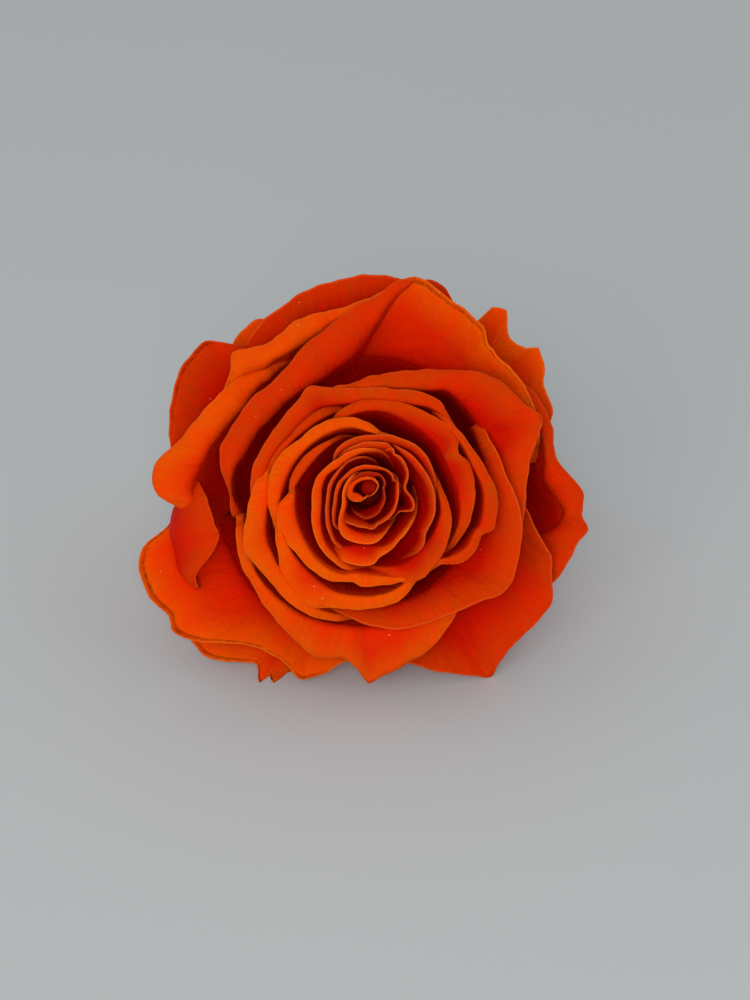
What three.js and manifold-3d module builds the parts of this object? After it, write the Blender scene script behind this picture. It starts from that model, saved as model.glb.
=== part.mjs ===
// A preserved rose head, orange, cut short below the hip and lying on its side, so that the open
// face of the bloom looks forward and a little up.
//
// Everything is worked out in the bloom's own frame and then laid down in one turn. In that frame
// the axis of the bloom runs along +Z from the hip to the face, +X is right and +Y is up as the
// face is looked at, and a place is given by azimuth (degrees, counter-clockwise from +X), radius
// and height (millimetres).
import * as THREE from 'three';
import * as BufferGeometryUtils from 'three/addons/utils/BufferGeometryUtils.js';
import Module from 'manifold-3d';

// Pose of the whole head: the axis looks up by FACE_TILT, and the point on the axis at the root
// of the petals stands at ROOT_POINT above the surface it lies on.
const FACE_TILT = 30;
const ROOT_POINT = [0.34, 14.34, 9.2];

// Thickness of the blades.
const PETAL_THICKNESS = 0.6;
const SEPAL_THICKNESS = 0.8;

// Each petal leaves the receptacle at this angle above the horizontal, and its handles are these
// shares of the straight way from root to neck.
const ROOT_RISE = 35;
const ROOT_HANDLE = 0.42;
const NECK_HANDLE = 0.4;
// A petal spreads from its root as its neck lies further out than the root, up to ROOT_SPREAD.
const ROOT_SPREAD = 14;
const ROOT_SPREAD_LEAST = 0.15;
// The neck leans outwards by this many times the lean of the straight way, less an offset.
const LEAN_GAIN = 1.4;
const LEAN_OFFSET = 20;
const LEAN_LEAST = -8;
const LEAN_MOST = 75;
// The neck lies below the crest by this much, and by this share of the lip's width, up to a limit.
const NECK_DROP = 0.6;
const NECK_DROP_SHARE = 0.5;
const NECK_DROP_MOST = 3.5;

// Petals belly out by SWELL where their crest is SWELL_RADIUS or more from the axis, and by less
// nearer to it, as the square of that radius. Where the head lies on them the swell dies away, as
// the sine of the azimuth falls below minus PRESSED_FROM.
const SWELL = 2.4;
const SWELL_RADIUS = 21;
const PRESSED_FROM = 0.3;

// How each ring of petals is split: start is the share of the way from root to neck that is
// buried in the receptacle, body and lip are the steps along the rest.
const RINGS = {
  bud: { start: 0.75, body: 1, lip: 1 },
  cup: { start: 0.62, body: 1, lip: 2 },
  shell: { start: 0.45, body: 2, lip: 2 },
  open: { start: 0.35, body: 2, lip: 2 },
  outer: { start: 0.22, body: 3, lip: 2 },
};

// The petals from the middle outwards. root is the radius and height where the petal leaves the
// receptacle. A row is one place along the rim: azimuth, radius and height of the crest that the
// petal turns over, radius and height of its free edge.
const PETALS = {
  bud: [
    {
      name: 'heart',
      root: [0.7, 24],
      rows: [
        [-100, 0.55, 38.6, 0.7, 38.5], [-31, 0.75, 39.4, 0.95, 39.3], [20, 1.45, 39.9, 1.6, 39.8],
        [66, 1.85, 40.3, 2.15, 40.1], [120, 1.74, 40.4, 2.25, 40], [177, 2, 40.3, 2.5, 39.8],
        [215, 1.35, 40, 2.3, 39.3], [245, 1, 39.7, 1.7, 39.2], [268, 0.65, 39.2, 0.8, 39.1],
      ],
    },
    {
      name: 'inner',
      root: [1.2, 21],
      rows: [
        [236, 3, 38.64, 3.2, 38.8], [258, 2.7, 38.93, 3.45, 39.6], [280, 2.35, 38.91, 3.4, 39.8],
        [320, 2.25, 39.73, 2.85, 40], [360, 2.15, 40.22, 2.35, 40.2], [395, 2.7, 40.55, 2.87, 40.5],
        [430, 2.15, 40.78, 2.78, 40.5], [480, 2.05, 40.39, 2.6, 40.2], [535, 2.5, 39.18, 2.8, 39.2],
      ],
    },
    {
      name: 'bud_1',
      root: [1.5, 20],
      rows: [
        [222, 3.9, 38.52, 4.3, 38.8], [245, 3.4, 38.33, 4.75, 39.5], [262, 3.5, 38.62, 4.7, 39.7],
        [281, 4.35, 39.52, 4.92, 40], [300, 4.05, 39.69, 4.5, 40], [340, 3.95, 40.15, 4.3, 40.2],
        [385, 4.2, 39.06, 4.45, 39],
      ],
    },
    {
      name: 'bud_2',
      root: [1.7, 19],
      rows: [
        [112, 2.75, 38.84, 2.85, 38.8], [145, 2.65, 40.53, 2.95, 40.4], [175, 2.8, 40.84, 3.15, 40.7],
        [205, 3.1, 40.74, 3.65, 40.6], [224, 4.3, 40.41, 5.2, 40.3], [238, 5.2, 39.92, 6.5, 39.9],
        [262, 5.4, 39.31, 6.85, 39.8], [283, 5.7, 39.35, 6.6, 39.9], [302, 5.4, 37.84, 5.6, 38],
      ],
    },
    {
      name: 'bud_3',
      root: [2, 18],
      rows: [
        [10, 4.5, 37.93, 4.6, 38], [25, 3.75, 40.1, 3.95, 40.2], [44, 3.85, 40.34, 4.08, 40.4],
        [65, 3.3, 40.41, 3.68, 40.4], [105, 3.08, 40.55, 3.55, 40.4], [160, 3.5, 40.6, 3.95, 40.4],
        [200, 4.25, 40.34, 4.75, 40.2], [228, 5.9, 39.04, 6.3, 39],
      ],
    },
    {
      name: 'bud_4',
      root: [2.2, 17],
      rows: [
        [92, 4.5, 38.45, 4.7, 38.4], [120, 4.6, 39.8, 4.85, 39.7], [150, 4.5, 40.46, 4.85, 40.3],
        [186, 4.9, 40.66, 5.35, 40.5], [210, 5.8, 40.51, 6.3, 40.4], [230, 7.1, 40.04, 7.6, 40],
        [250, 7.9, 37.74, 8.3, 37.8],
      ],
    },
    {
      name: 'bud_5',
      root: [2.4, 16],
      rows: [
        [322, 4.9, 37.91, 5, 38], [333, 5.3, 39.84, 5.7, 40.2], [342, 6.25, 40.34, 6.55, 40.6],
        [354, 5.6, 40.35, 5.9, 40.6], [366, 4.85, 40.32, 5.1, 40.5], [390, 5.85, 40.66, 6.15, 40.8],
        [408, 6, 40.82, 6.45, 40.9], [421, 6.2, 40.6, 6.75, 40.6], [432, 5.9, 38.52, 6.1, 38.5],
      ],
    },
    {
      name: 'ring_inner',
      root: [2.5, 15.5],
      rows: [
        [58, 6.2, 38.99, 6.4, 39], [68, 6.2, 40.55, 7, 40.5], [98, 5.85, 40.68, 6.5, 40.5],
        [126, 5.8, 39.14, 6.15, 39],
      ],
    },
    {
      name: 'ring_left',
      root: [2.7, 15],
      rows: [
        [70, 5.6, 38.62, 5.85, 38.6], [96, 5.3, 40.73, 5.8, 40.6], [125, 5, 41.13, 5.8, 40.8],
        [150, 5.5, 41.18, 6.35, 40.8], [175, 6, 41.15, 7.1, 40.7], [200, 6.5, 40.96, 7.75, 40.6],
        [222, 8, 40.56, 9.15, 40.4], [245, 9.4, 39.84, 10.2, 39.9], [264, 10, 37.82, 10.5, 38],
      ],
    },
    {
      name: 'ring_top',
      root: [2.8, 14],
      rows: [
        [-10, 8.7, 36.18, 9.2, 36.6], [8, 8.5, 38.9, 9.2, 39.4], [38, 8.1, 40.16, 9.1, 40.5],
        [56, 7.5, 40.64, 8.4, 40.7], [76, 7, 40.81, 7.85, 40.7], [100, 6.65, 40.82, 7.4, 40.6],
        [122, 6.4, 40.64, 7, 40.4], [136, 6, 38.89, 6.2, 38.8],
      ],
    },
    {
      name: 'ring_foot',
      root: [2.9, 14],
      rows: [
        [238, 8.2, 37.42, 9.3, 37.4], [262, 7.1, 38.69, 9.8, 39.6], [275, 7.1, 38.56, 9.5, 39.8],
        [300, 7.3, 39.67, 7.85, 40.1], [314, 6.95, 39.71, 7.4, 40.1], [338, 6.9, 37.62, 7.1, 37.8],
      ],
    },
    {
      name: 'ring_right',
      root: [3, 13],
      rows: [
        [300, 9.8, 36.85, 10.5, 37.4], [316, 9.1, 39, 10.25, 40], [340, 8.2, 39.78, 9.35, 40.8],
        [370, 7.3, 39.97, 8.5, 40.8], [390, 6.95, 40.39, 7.85, 40.8], [415, 6.95, 40.27, 7.3, 40.3],
        [424, 7, 38.8, 7.15, 38.8],
      ],
    },
  ],
  cup: [
    {
      name: 'cup_left',
      root: [3.1, 13],
      rows: [
        [114, 7.9, 37, 8.2, 36.8], [127, 7.9, 40, 8.5, 39.7], [147, 8.2, 41, 9.3, 40.3],
        [167, 9, 41, 10.1, 40.3], [181, 9.9, 39.4, 10.3, 39], [190, 10.2, 37.4, 10.5, 37.1],
      ],
    },
    {
      name: 'cup_wide',
      root: [3.2, 12],
      rows: [
        [60, 7.8, 36, 8.2, 35.6], [88, 8, 41.4, 9, 40.8], [120, 9.25, 42, 10.8, 41],
        [140, 9.8, 42, 11.15, 41.2], [170, 10.85, 42, 13.05, 40.6], [212, 12.7, 37, 13, 36.5],
      ],
    },
    {
      name: 'cup_foot',
      root: [3.3, 12],
      rows: [
        [167, 9.8, 36, 10.2, 35.6], [184, 9.6, 41.4, 10.9, 40.7], [205, 10.05, 42, 12.6, 40.5],
        [235, 11.1, 42, 12.6, 41.1], [261, 10.9, 41.5, 11.9, 41], [277, 11.1, 41.2, 12.45, 40.4],
        [285, 11.6, 41, 12.55, 40.3], [291, 12.15, 40.6, 12.5, 40.2], [297, 12.45, 40, 12.6, 39.8],
        [306, 12.5, 38, 12.6, 37.7],
      ],
    },
    {
      name: 'cup_right',
      root: [3.4, 12],
      rows: [
        [279, 10, 38.8, 10.9, 38.3], [297, 10.7, 41.2, 13.4, 39.9], [312, 10.6, 41.4, 13, 40.2],
        [332, 10.3, 41.3, 12.3, 40.3], [362, 9.3, 39.6, 9.9, 39.2], [372, 9.1, 37.5, 9.5, 37.1],
      ],
    },
    {
      name: 'cup_high',
      root: [3.5, 11],
      rows: [
        [328, 12.9, 38, 13.5, 37.6], [360, 12, 41.5, 14.2, 40.4], [383, 11.1, 41.8, 13.05, 40.7],
        [405, 10.9, 41.9, 13.4, 40.6], [440, 10.9, 41.7, 12.4, 40.8], [479, 9.9, 38.6, 10.5, 38.1],
      ],
    },
    {
      name: 'shell_back',
      root: [3.6, 11],
      rows: [
        [106, 11.4, 37.5, 11.9, 37.1], [133, 11.5, 40.6, 12.8, 39.8], [159, 12.6, 40.6, 13.6, 39.9],
        [172, 13.2, 40, 14.1, 39.4], [186, 13.6, 38, 14.2, 37.5],
      ],
    },
  ],
  shell: [
    {
      name: 'shell_left',
      root: [3.8, 10],
      rows: [
        [38, 14.1, 38.3, 14.6, 38], [52, 14, 41.3, 15.35, 40.5], [76, 12.5, 41.8, 13.95, 41],
        [102, 12, 41.7, 13.95, 40.7], [119.5, 12.8, 41.5, 15.85, 39.8], [140, 12.7, 41.4, 14.7, 40.3],
        [170, 13.9, 40.9, 15.3, 40], [193, 14.8, 37.5, 15.4, 37],
      ],
    },
    {
      name: 'shell_right',
      root: [3.9, 10],
      rows: [
        [305, 12.9, 37.6, 13.3, 37.3], [322, 14, 40.8, 15.2, 40.1], [339, 15.1, 41.1, 16.1, 40.4],
        [344, 15.6, 41.1, 17.35, 40], [370, 14.7, 41.4, 15.95, 40.6], [392, 13.8, 41.3, 14.65, 40.8],
        [416, 13.8, 38, 14.2, 37.7],
      ],
    },
    {
      name: 'lip_foot',
      root: [4, 9],
      rows: [
        [184, 12.4, 36.6, 12.7, 36.4], [206, 12.4, 41.1, 13.4, 40.5], [222, 12.7, 41.7, 15.5, 40],
        [236, 13.1, 41.6, 17.4, 39], [255, 13.8, 41.2, 15.85, 39.8], [283, 13.6, 41, 15.1, 40],
        [297, 12.9, 39.7, 13.5, 39.2], [307, 12.8, 37.4, 13.2, 37],
      ],
    },
    {
      name: 'lip_left',
      root: [4.1, 9],
      rows: [
        [159, 13.2, 37.6, 13.6, 37.2], [175, 13.1, 41.4, 14.7, 40.6], [192, 13.6, 41.7, 16.3, 40],
        [206, 14.7, 41.3, 17.9, 39], [214, 15, 41.1, 17.45, 39.3], [235, 16, 40.4, 17.8, 39.3],
        [256, 16.8, 36.8, 17.5, 36.3],
      ],
    },
  ],
  open: [
    {
      name: 'open_foot',
      root: [4.3, 8],
      rows: [
        [246, 14.6, 34, 15.6, 34.5], [270, 15, 37.4, 17.5, 38.6], [300, 15.2, 37.3, 19.2, 38.8],
        [318, 14.9, 36.4, 21.2, 38.3], [327, 14.9, 36.2, 22.6, 37.8], [345, 15.6, 36.9, 21.2, 38.6],
        [365, 16.1, 37.8, 18.7, 39.2], [392, 16.2, 36.4, 17.4, 37],
      ],
    },
    {
      name: 'cowl_right',
      root: [4.5, 7],
      rows: [
        [-24, 17, 33, 19.6, 33.6], [0, 17.2, 36.6, 21, 38.2], [18, 17.3, 38, 23.9, 38],
        [23, 17.3, 38.4, 25.2, 37], [30, 17.2, 39.2, 23.7, 38.1], [50, 17.1, 40.8, 21, 38.9],
        [70, 14.5, 41.3, 17, 39.7], [92, 13.7, 41.2, 14.9, 40.2], [116, 14.3, 37.8, 14.6, 37.5],
      ],
    },
    {
      name: 'point_foot',
      root: [4.7, 6],
      rows: [
        [190, 16.8, 33.5, 17.6, 33.2], [208, 17.8, 38.2, 19.1, 37.4], [230, 18.4, 38.8, 20.3, 37.4],
        [248, 18.2, 38.4, 22.5, 35.2], [262, 17.9, 38, 22.4, 34.6], [270.5, 17.9, 37.9, 25.7, 31],
        [274, 17.9, 37.8, 24.7, 32], [290, 17.9, 37.4, 22.8, 34.2], [308, 17.6, 35.4, 19.9, 35],
        [318, 17.4, 32, 18.8, 32],
      ],
    },
  ],
  outer: [
    {
      name: 'fold_left',
      root: [4.8, 6],
      rows: [
        [77.5, 28.3, 37.6, 29, 37.2], [87, 22.4, 38.8, 26, 37.4], [92, 19.5, 39.2, 25, 37.4],
        [110, 16.4, 39.4, 21.5, 37.6], [130, 16, 39.4, 19.3, 38], [154, 16.7, 39, 19.9, 37.4],
        [172, 18, 37.8, 19.5, 36.8], [190, 17.6, 32, 18, 31.6],
      ],
    },
    {
      name: 'fan_top',
      root: [5, 5],
      rows: [
        [10, 19, 26, 23, 29], [30, 18.7, 29.6, 25.1, 35], [50, 18.5, 30.2, 25.2, 36.2],
        [62, 18.5, 30.4, 27.5, 36.2], [77.5, 18.5, 30.5, 29.1, 36.9], [92, 18.5, 29.8, 25, 35.6],
        [114, 18, 26.5, 20, 30.5],
      ],
    },
    {
      name: 'curl_top',
      root: [5.1, 5],
      rows: [
        [76, 24.8, 31, 25.6, 30.8], [94, 23.9, 35.8, 25.1, 35.2], [112, 21.7, 36.8, 24.6, 35.2],
        [129, 21.5, 37, 24.6, 35], [134, 22.2, 36.6, 25.7, 34.4], [144, 22.6, 33.2, 23.6, 32.6],
        [152, 22, 29.5, 22.8, 29],
      ],
    },
    {
      name: 'band_left',
      root: [5.2, 4],
      rows: [
        [118, 20.5, 30, 21.5, 29.6], [138, 20.1, 35.8, 22.9, 34.8], [158, 21, 36.6, 24.9, 34.8],
        [172, 22.6, 36.4, 28.3, 33.4], [177, 23.2, 36, 28.9, 32.8], [184, 23.2, 33, 25.4, 32],
        [190, 22.4, 28, 23.4, 27.4],
      ],
    },
    {
      name: 'flap_left',
      root: [5.2, 4],
      rows: [
        [174, 23.4, 29, 23, 29.6], [178, 24.2, 31.2, 22.2, 32.6], [187, 26.5, 32.1, 21, 34.6],
        [196, 27, 32.2, 20.4, 34.2], [203, 27.2, 31.6, 23.2, 33], [210, 26.6, 28.8, 26.2, 29.2],
      ],
    },
    {
      name: 'wing_left',
      root: [5.4, 3],
      rows: [
        [186, 20.6, 23, 25.8, 24.6], [194, 20.6, 25.2, 31.3, 28], [206, 20.6, 26.2, 32.7, 28],
        [215, 20.6, 26.6, 32.4, 27.8], [226, 20.6, 27, 28.4, 28.6], [238, 20.4, 27.2, 25.4, 29.2],
        [250, 20.2, 27, 26.9, 28], [262, 19.8, 26, 23.4, 28.2], [270, 19.4, 24.8, 22, 27],
      ],
    },
    {
      name: 'wing_foot',
      root: [5.5, 3],
      rows: [
        [274, 19, 23, 22, 24.5], [290, 19.6, 26.6, 25.4, 28.4], [303.5, 19.6, 27, 30.4, 25.2],
        [307, 19.6, 27.2, 29.5, 26.2], [328, 19.6, 28.2, 29.1, 28.6], [341, 19.6, 29.2, 26.1, 31.2],
        [355, 19.4, 29.6, 21.2, 32.4], [365, 19.2, 28, 20.4, 30],
      ],
    },
    {
      name: 'wing_right',
      root: [5.5, 3],
      rows: [
        [-36, 20.6, 22, 25, 24], [-21, 22.6, 27.6, 28.6, 29.2], [-9.5, 26.4, 30.6, 30.2, 29.6],
        [-6, 26.8, 31.8, 28.9, 31], [7, 23.9, 33.2, 26.5, 32.4], [20, 24.9, 33, 26.3, 32.4],
        [36, 24.6, 29.4, 25.6, 29], [44, 23.6, 25, 24.6, 24.8],
      ],
    },
    {
      name: 'torn_right',
      root: [5.6, 2],
      rows: [
        [12, 22.6, 21, 24.6, 23.5], [25, 23.8, 24.4, 27.6, 27.6], [40, 23.7, 25, 30.3, 27.4],
        [42, 23.5, 25, 28.9, 27.9], [50, 22.5, 25, 29.5, 27.6], [52.5, 22.2, 24.8, 31, 27],
        [57, 21.8, 24, 26.8, 27.4], [72, 20.8, 21, 24.4, 24],
      ],
    },
    {
      name: 'back_top',
      root: [5.6, 2],
      rows: [
        [60, 22.4, 22, 25, 24.6], [70, 24.7, 25.4, 29.7, 27.8], [77, 25.5, 26.6, 29.3, 29],
        [90, 24.1, 27.4, 29.3, 29.8], [110, 22.7, 26.8, 28.1, 29.4], [125, 21.7, 24.6, 26.6, 27.4],
        [134, 21, 21.6, 25, 24],
      ],
    },
    {
      name: 'back_tip',
      root: [5.7, 2],
      rows: [
        [112, 20.6, 16, 25, 17.6], [124, 21.2, 18.8, 28.2, 21.4], [130, 21.2, 18.6, 27.8, 21.2],
        [144, 20.4, 15, 24, 16.6],
      ],
    },
    {
      name: 'wing_up',
      root: [5.6, 2],
      rows: [
        [128, 21.2, 22, 25, 24.2], [134.5, 21.6, 25, 28.6, 28], [137, 21.7, 25.4, 30, 28.2],
        [150, 21.9, 26, 29.8, 28.8], [168, 22, 25.6, 27.1, 28.8], [176, 21.8, 24.4, 26.6, 27.4],
        [186, 21.2, 21, 24.6, 23.4],
      ],
    },
    {
      name: 'under_left',
      root: [5.7, 2],
      rows: [
        [205, 20, 17.5, 26, 19.4], [218, 20.9, 20.6, 31.4, 22.8], [229, 21, 21, 30.6, 23.2],
        [237, 21, 21, 27.8, 24], [241, 21, 21.2, 30, 26.4], [242.5, 21, 21.2, 28.7, 24.6],
        [244.5, 21, 21, 29.5, 26], [260, 19.2, 19.4, 22.6, 23.4],
      ],
    },
  ],
};

// The receptacle that the petals grow from, as radius and height, hidden inside the bloom.
const RECEPTACLE = [
  [0, 0], [5, 0], [7, 1.6], [10, 4], [12.6, 7.6], [14, 12], [14.4, 18], [14, 23], [12.6, 27.5], [9, 30.5],
  [0, 31],
];
const RECEPTACLE_SIDES = 28;

// The green hip below it, with the stub of the stem cut off square.
const HIP = [
  [0, -14.2], [2.9, -14.2], [2.7, -10.5], [3, -9], [4, -7.4], [5.2, -5], [5.6, -2.6], [5.3, -1],
  [4.6, -0.3], [0, -0.3],
];
const HIP_SIDES = 24;

// The sepals: their azimuths, and rows from root to tip of radius, height and half width. The
// edges stand above the midrib by SEPAL_CUP times the square of the place across.
const SEPAL_AZIMUTHS = [18, 90, 162, 234, 306];
const SEPAL = [
  [3.8, -2, 3.2], [6.6, -1.1, 3.9], [9, 0.4, 3.6], [11.4, 2.3, 2.8], [13.6, 4, 1.8], [15.4, 5.2, 0.6],
];
const SEPAL_CUP = 0.7;
const SEPAL_PLACES_ACROSS = [-1, -0.5, 0, 0.5, 1];

const PETAL_COLOUR = 0xe04a05;
const PETAL_ROUGHNESS = 0.6;
const SEPAL_COLOUR = 0x5f6b2e;
const SEPAL_ROUGHNESS = 0.7;

// The block below the surface that takes off whatever would reach into it, as width, depth and
// height, and the distance below which corners count as one.
const GROUND = [200, 200, 20];
const SAME_PLACE = 1e-5;

const wasm = await Module();
wasm.setup();

// A closed three.js geometry as a solid that can be joined and cut.
function toSolid(geometry) {
  const bare = new THREE.BufferGeometry();
  bare.setAttribute('position', geometry.getAttribute('position').clone());
  if (geometry.index) bare.setIndex(geometry.index.clone());
  const merged = BufferGeometryUtils.mergeVertices(bare, SAME_PLACE);
  return new wasm.Manifold(new wasm.Mesh({
    numProp: 3,
    vertProperties: new Float32Array(merged.getAttribute('position').array),
    triVerts: new Uint32Array(merged.index.array),
  }));
}

// A solid as a named mesh with its own material.
function toMesh(solid, name, color, roughness) {
  const { vertProperties, triVerts } = solid.getMesh();
  const geometry = new THREE.BufferGeometry();
  geometry.setAttribute('position', new THREE.BufferAttribute(vertProperties, 3));
  geometry.setIndex(new THREE.BufferAttribute(triVerts, 1));
  geometry.computeVertexNormals();
  const mesh = new THREE.Mesh(geometry, new THREE.MeshStandardMaterial({ color, roughness, metalness: 0 }));
  mesh.name = name;
  return mesh;
}

const clamp = THREE.MathUtils.clamp;
const radians = THREE.MathUtils.degToRad;

// One profile of a petal, in the half-plane of its azimuth, as points [radius, height]: a cubic
// from the root to the neck, then a quadratic that turns over the crest to the free edge.
function petalProfile(root, [azimuth, crestR, crestZ, edgeR, edgeZ], ring) {
  const lipWidth = Math.hypot(edgeR - crestR, edgeZ - crestZ);
  const drop = Math.min(NECK_DROP + NECK_DROP_SHARE * lipWidth, NECK_DROP_MOST);
  const neck = [crestR, crestZ - drop];
  const way = [neck[0] - root[0], neck[1] - root[1]];
  const length = Math.hypot(...way);
  const wayLean = THREE.MathUtils.radToDeg(Math.atan2(way[0], way[1]));
  const lean = radians(clamp(LEAN_GAIN * wayLean - LEAN_OFFSET, LEAN_LEAST, LEAN_MOST));
  const rise = radians(ROOT_RISE);
  const spread = clamp(way[0] / ROOT_SPREAD, ROOT_SPREAD_LEAST, 1);
  const rootHandle = [
    root[0] + ROOT_HANDLE * length * Math.cos(rise) * spread,
    root[1] + ROOT_HANDLE * length * Math.sin(rise),
  ];
  const neckHandle = [
    neck[0] - NECK_HANDLE * length * Math.sin(lean),
    neck[1] - NECK_HANDLE * length * Math.cos(lean),
  ];
  const side = Math.sin(radians(azimuth));
  const pressed = clamp((-side - PRESSED_FROM) / (1 - PRESSED_FROM), 0, 1);
  const swell = SWELL * (1 - pressed) * Math.min(crestR / SWELL_RADIUS, 1) ** 2;
  const points = [];
  for (let i = 0; i <= ring.body; i += 1) {
    const t = ring.start + (1 - ring.start) * (i / ring.body);
    const s = 1 - t;
    const mix = (k) => (
      s ** 3 * root[k] + 3 * t * s * s * rootHandle[k]
      + 3 * t * t * s * neckHandle[k] + t ** 3 * neck[k]
    );
    points.push([mix(0) + swell * Math.sin(Math.PI * t), mix(1)]);
  }
  for (let i = 1; i <= ring.lip; i += 1) {
    const t = i / ring.lip;
    const s = 1 - t;
    points.push([
      s * s * neck[0] + 2 * t * s * crestR + t * t * edgeR,
      s * s * neck[1] + 2 * t * s * crestZ + t * t * edgeZ,
    ]);
  }
  return points;
}

// A closed blade of one thickness round a grid of points, grid[across][along]. Both faces are
// split into triangles alike, so they never cross.
function blade(grid, thickness) {
  const across = grid.length;
  const along = grid[0].length;
  const at = (i, j) => grid[clamp(i, 0, across - 1)][clamp(j, 0, along - 1)];
  const positions = [[], []];
  for (let i = 0; i < across; i += 1) {
    for (let j = 0; j < along; j += 1) {
      const alongStep = at(i, j + 1).clone().sub(at(i, j - 1));
      const acrossStep = at(i + 1, j).clone().sub(at(i - 1, j));
      const half = alongStep.cross(acrossStep).normalize().multiplyScalar(thickness / 2);
      positions[0].push(...grid[i][j].clone().add(half).toArray());
      positions[1].push(...grid[i][j].clone().sub(half).toArray());
    }
  }
  const back = across * along;
  const index = [];
  const quad = (a, b, c, d) => index.push(a, b, c, a, c, d);
  for (let i = 0; i < across - 1; i += 1) {
    for (let j = 0; j < along - 1; j += 1) {
      const a = i * along + j;
      const b = a + along;
      index.push(a, a + 1, b + 1, a, b + 1, b);
      index.push(back + a, back + b + 1, back + a + 1, back + a, back + b, back + b + 1);
    }
    const near = i * along;
    const far = near + along - 1;
    quad(near, near + along, back + near + along, back + near);
    quad(far, back + far, back + far + along, far + along);
  }
  const last = (across - 1) * along;
  for (let j = 0; j < along - 1; j += 1) {
    quad(j, back + j, back + j + 1, j + 1);
    quad(last + j, last + j + 1, back + last + j + 1, back + last + j);
  }
  const geometry = new THREE.BufferGeometry();
  geometry.setAttribute('position', new THREE.Float32BufferAttribute(positions.flat(), 3));
  geometry.setIndex(index);
  return geometry;
}

// A petal: its profiles at the azimuths of its rows, from one side edge to the other.
function petalGeometry({ root, rows }, ring) {
  const grid = rows.map((row) => petalProfile(root, row, ring).map(([r, z]) => {
    const angle = radians(row[0]);
    return new THREE.Vector3(r * Math.cos(angle), r * Math.sin(angle), z);
  }));
  return blade(grid, PETAL_THICKNESS);
}

// A sepal: rows across the midrib, cupped towards the petals.
function sepalGeometry(azimuth) {
  const turn = new THREE.Matrix4().makeRotationZ(radians(azimuth));
  const grid = SEPAL_PLACES_ACROSS.map((place) => SEPAL.map(([r, z, halfWidth]) => (
    new THREE.Vector3(r, place * halfWidth, z + SEPAL_CUP * place * place).applyMatrix4(turn))));
  return blade(grid, SEPAL_THICKNESS);
}

// A body of revolution about the axis of the bloom.
function turned(profile, sides) {
  const points = profile.map(([r, z]) => new THREE.Vector2(r, z));
  return new THREE.LatheGeometry(points, sides).rotateX(Math.PI / 2);
}

// The head is turned face forward and laid down, and what would reach below the surface is
// pressed flat on it. Only the outermost shell is kept, so pockets sealed between petals are full.
const layDown = new THREE.Matrix4()
  .makeRotationX(radians(90 - FACE_TILT))
  .setPosition(...ROOT_POINT);

function laidSolid(geometries) {
  const solids = geometries.map((geometry) => toSolid(geometry.applyMatrix4(layDown)));
  const whole = solids.reduce((sum, solid) => sum.add(solid));
  const ground = new THREE.BoxGeometry(...GROUND).translate(0, 0, -GROUND[2] / 2);
  const shells = whole.subtract(toSolid(ground)).decompose();
  return shells.reduce((largest, shell) => (shell.volume() > largest.volume() ? shell : largest));
}

const petals = Object.entries(PETALS).flatMap(([ring, list]) => (
  list.map((petal) => petalGeometry(petal, RINGS[ring]))));
const bloom = laidSolid([turned(RECEPTACLE, RECEPTACLE_SIDES), ...petals]);
const calyx = laidSolid([turned(HIP, HIP_SIDES), ...SEPAL_AZIMUTHS.map(sepalGeometry)]);

const head = new THREE.Group();
head.add(toMesh(bloom, 'bloom', PETAL_COLOUR, PETAL_ROUGHNESS));
head.add(toMesh(calyx, 'calyx', SEPAL_COLOUR, SEPAL_ROUGHNESS));

export default head;
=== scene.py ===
"""A preserved rose head, orange, cut short below the hip and lying on its side.

Sizes are in millimetres in the flower's own frame: its axis runs along +Z from the hip to the open
face, +X is right and +Y is up as the face is looked at, and azimuth is counter-clockwise from +X,
in degrees. The floor, the lamps and the camera are in metres in the part's frame.
"""
import math

import bpy
import numpy as np
from mathutils import Matrix


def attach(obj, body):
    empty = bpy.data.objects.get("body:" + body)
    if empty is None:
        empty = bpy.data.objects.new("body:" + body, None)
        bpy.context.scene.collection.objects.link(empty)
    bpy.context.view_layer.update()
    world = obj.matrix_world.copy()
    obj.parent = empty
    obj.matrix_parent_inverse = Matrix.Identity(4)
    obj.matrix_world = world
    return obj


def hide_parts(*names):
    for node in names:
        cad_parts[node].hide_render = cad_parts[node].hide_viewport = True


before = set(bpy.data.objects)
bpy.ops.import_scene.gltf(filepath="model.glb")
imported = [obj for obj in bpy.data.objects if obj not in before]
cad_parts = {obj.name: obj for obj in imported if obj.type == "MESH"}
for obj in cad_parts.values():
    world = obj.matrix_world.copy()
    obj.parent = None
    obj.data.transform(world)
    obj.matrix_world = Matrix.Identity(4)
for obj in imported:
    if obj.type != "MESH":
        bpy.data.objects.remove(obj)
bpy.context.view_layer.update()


# Hip and stub of the stem
# The green hip swells below the petals and grows in one with the stem, which is cut off square
# just under it. Glycerine keeps the skin soft and waxy; fine ribs run down into the stem.
FACE_TILT = 30.0
ROOT_POINT = (0.34, 14.34, 9.2)
PRESSED_HEIGHT = 0.4
HIP_PROFILE = [
    (0.0, -14.2), (2.5, -14.2), (2.8, -13.9), (2.65, -12.0), (2.7, -10.5), (3.0, -9.0), (4.0, -7.4),
    (5.1, -5.2), (5.6, -3.2), (5.5, -1.8), (5.0, -0.9), (4.6, -0.3), (0.0, -0.3),
]
HIP_SIDES = 96
HIP_STEP = 0.3
HIP_RIBS = 10
HIP_RIB_HEIGHT = 0.1
HIP_GREEN = "#66722F"
HIP_TAN = "#8A7A45"
HIP_STREAK_WIDTH = 0.8
HIP_RELIEF = 0.1


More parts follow.
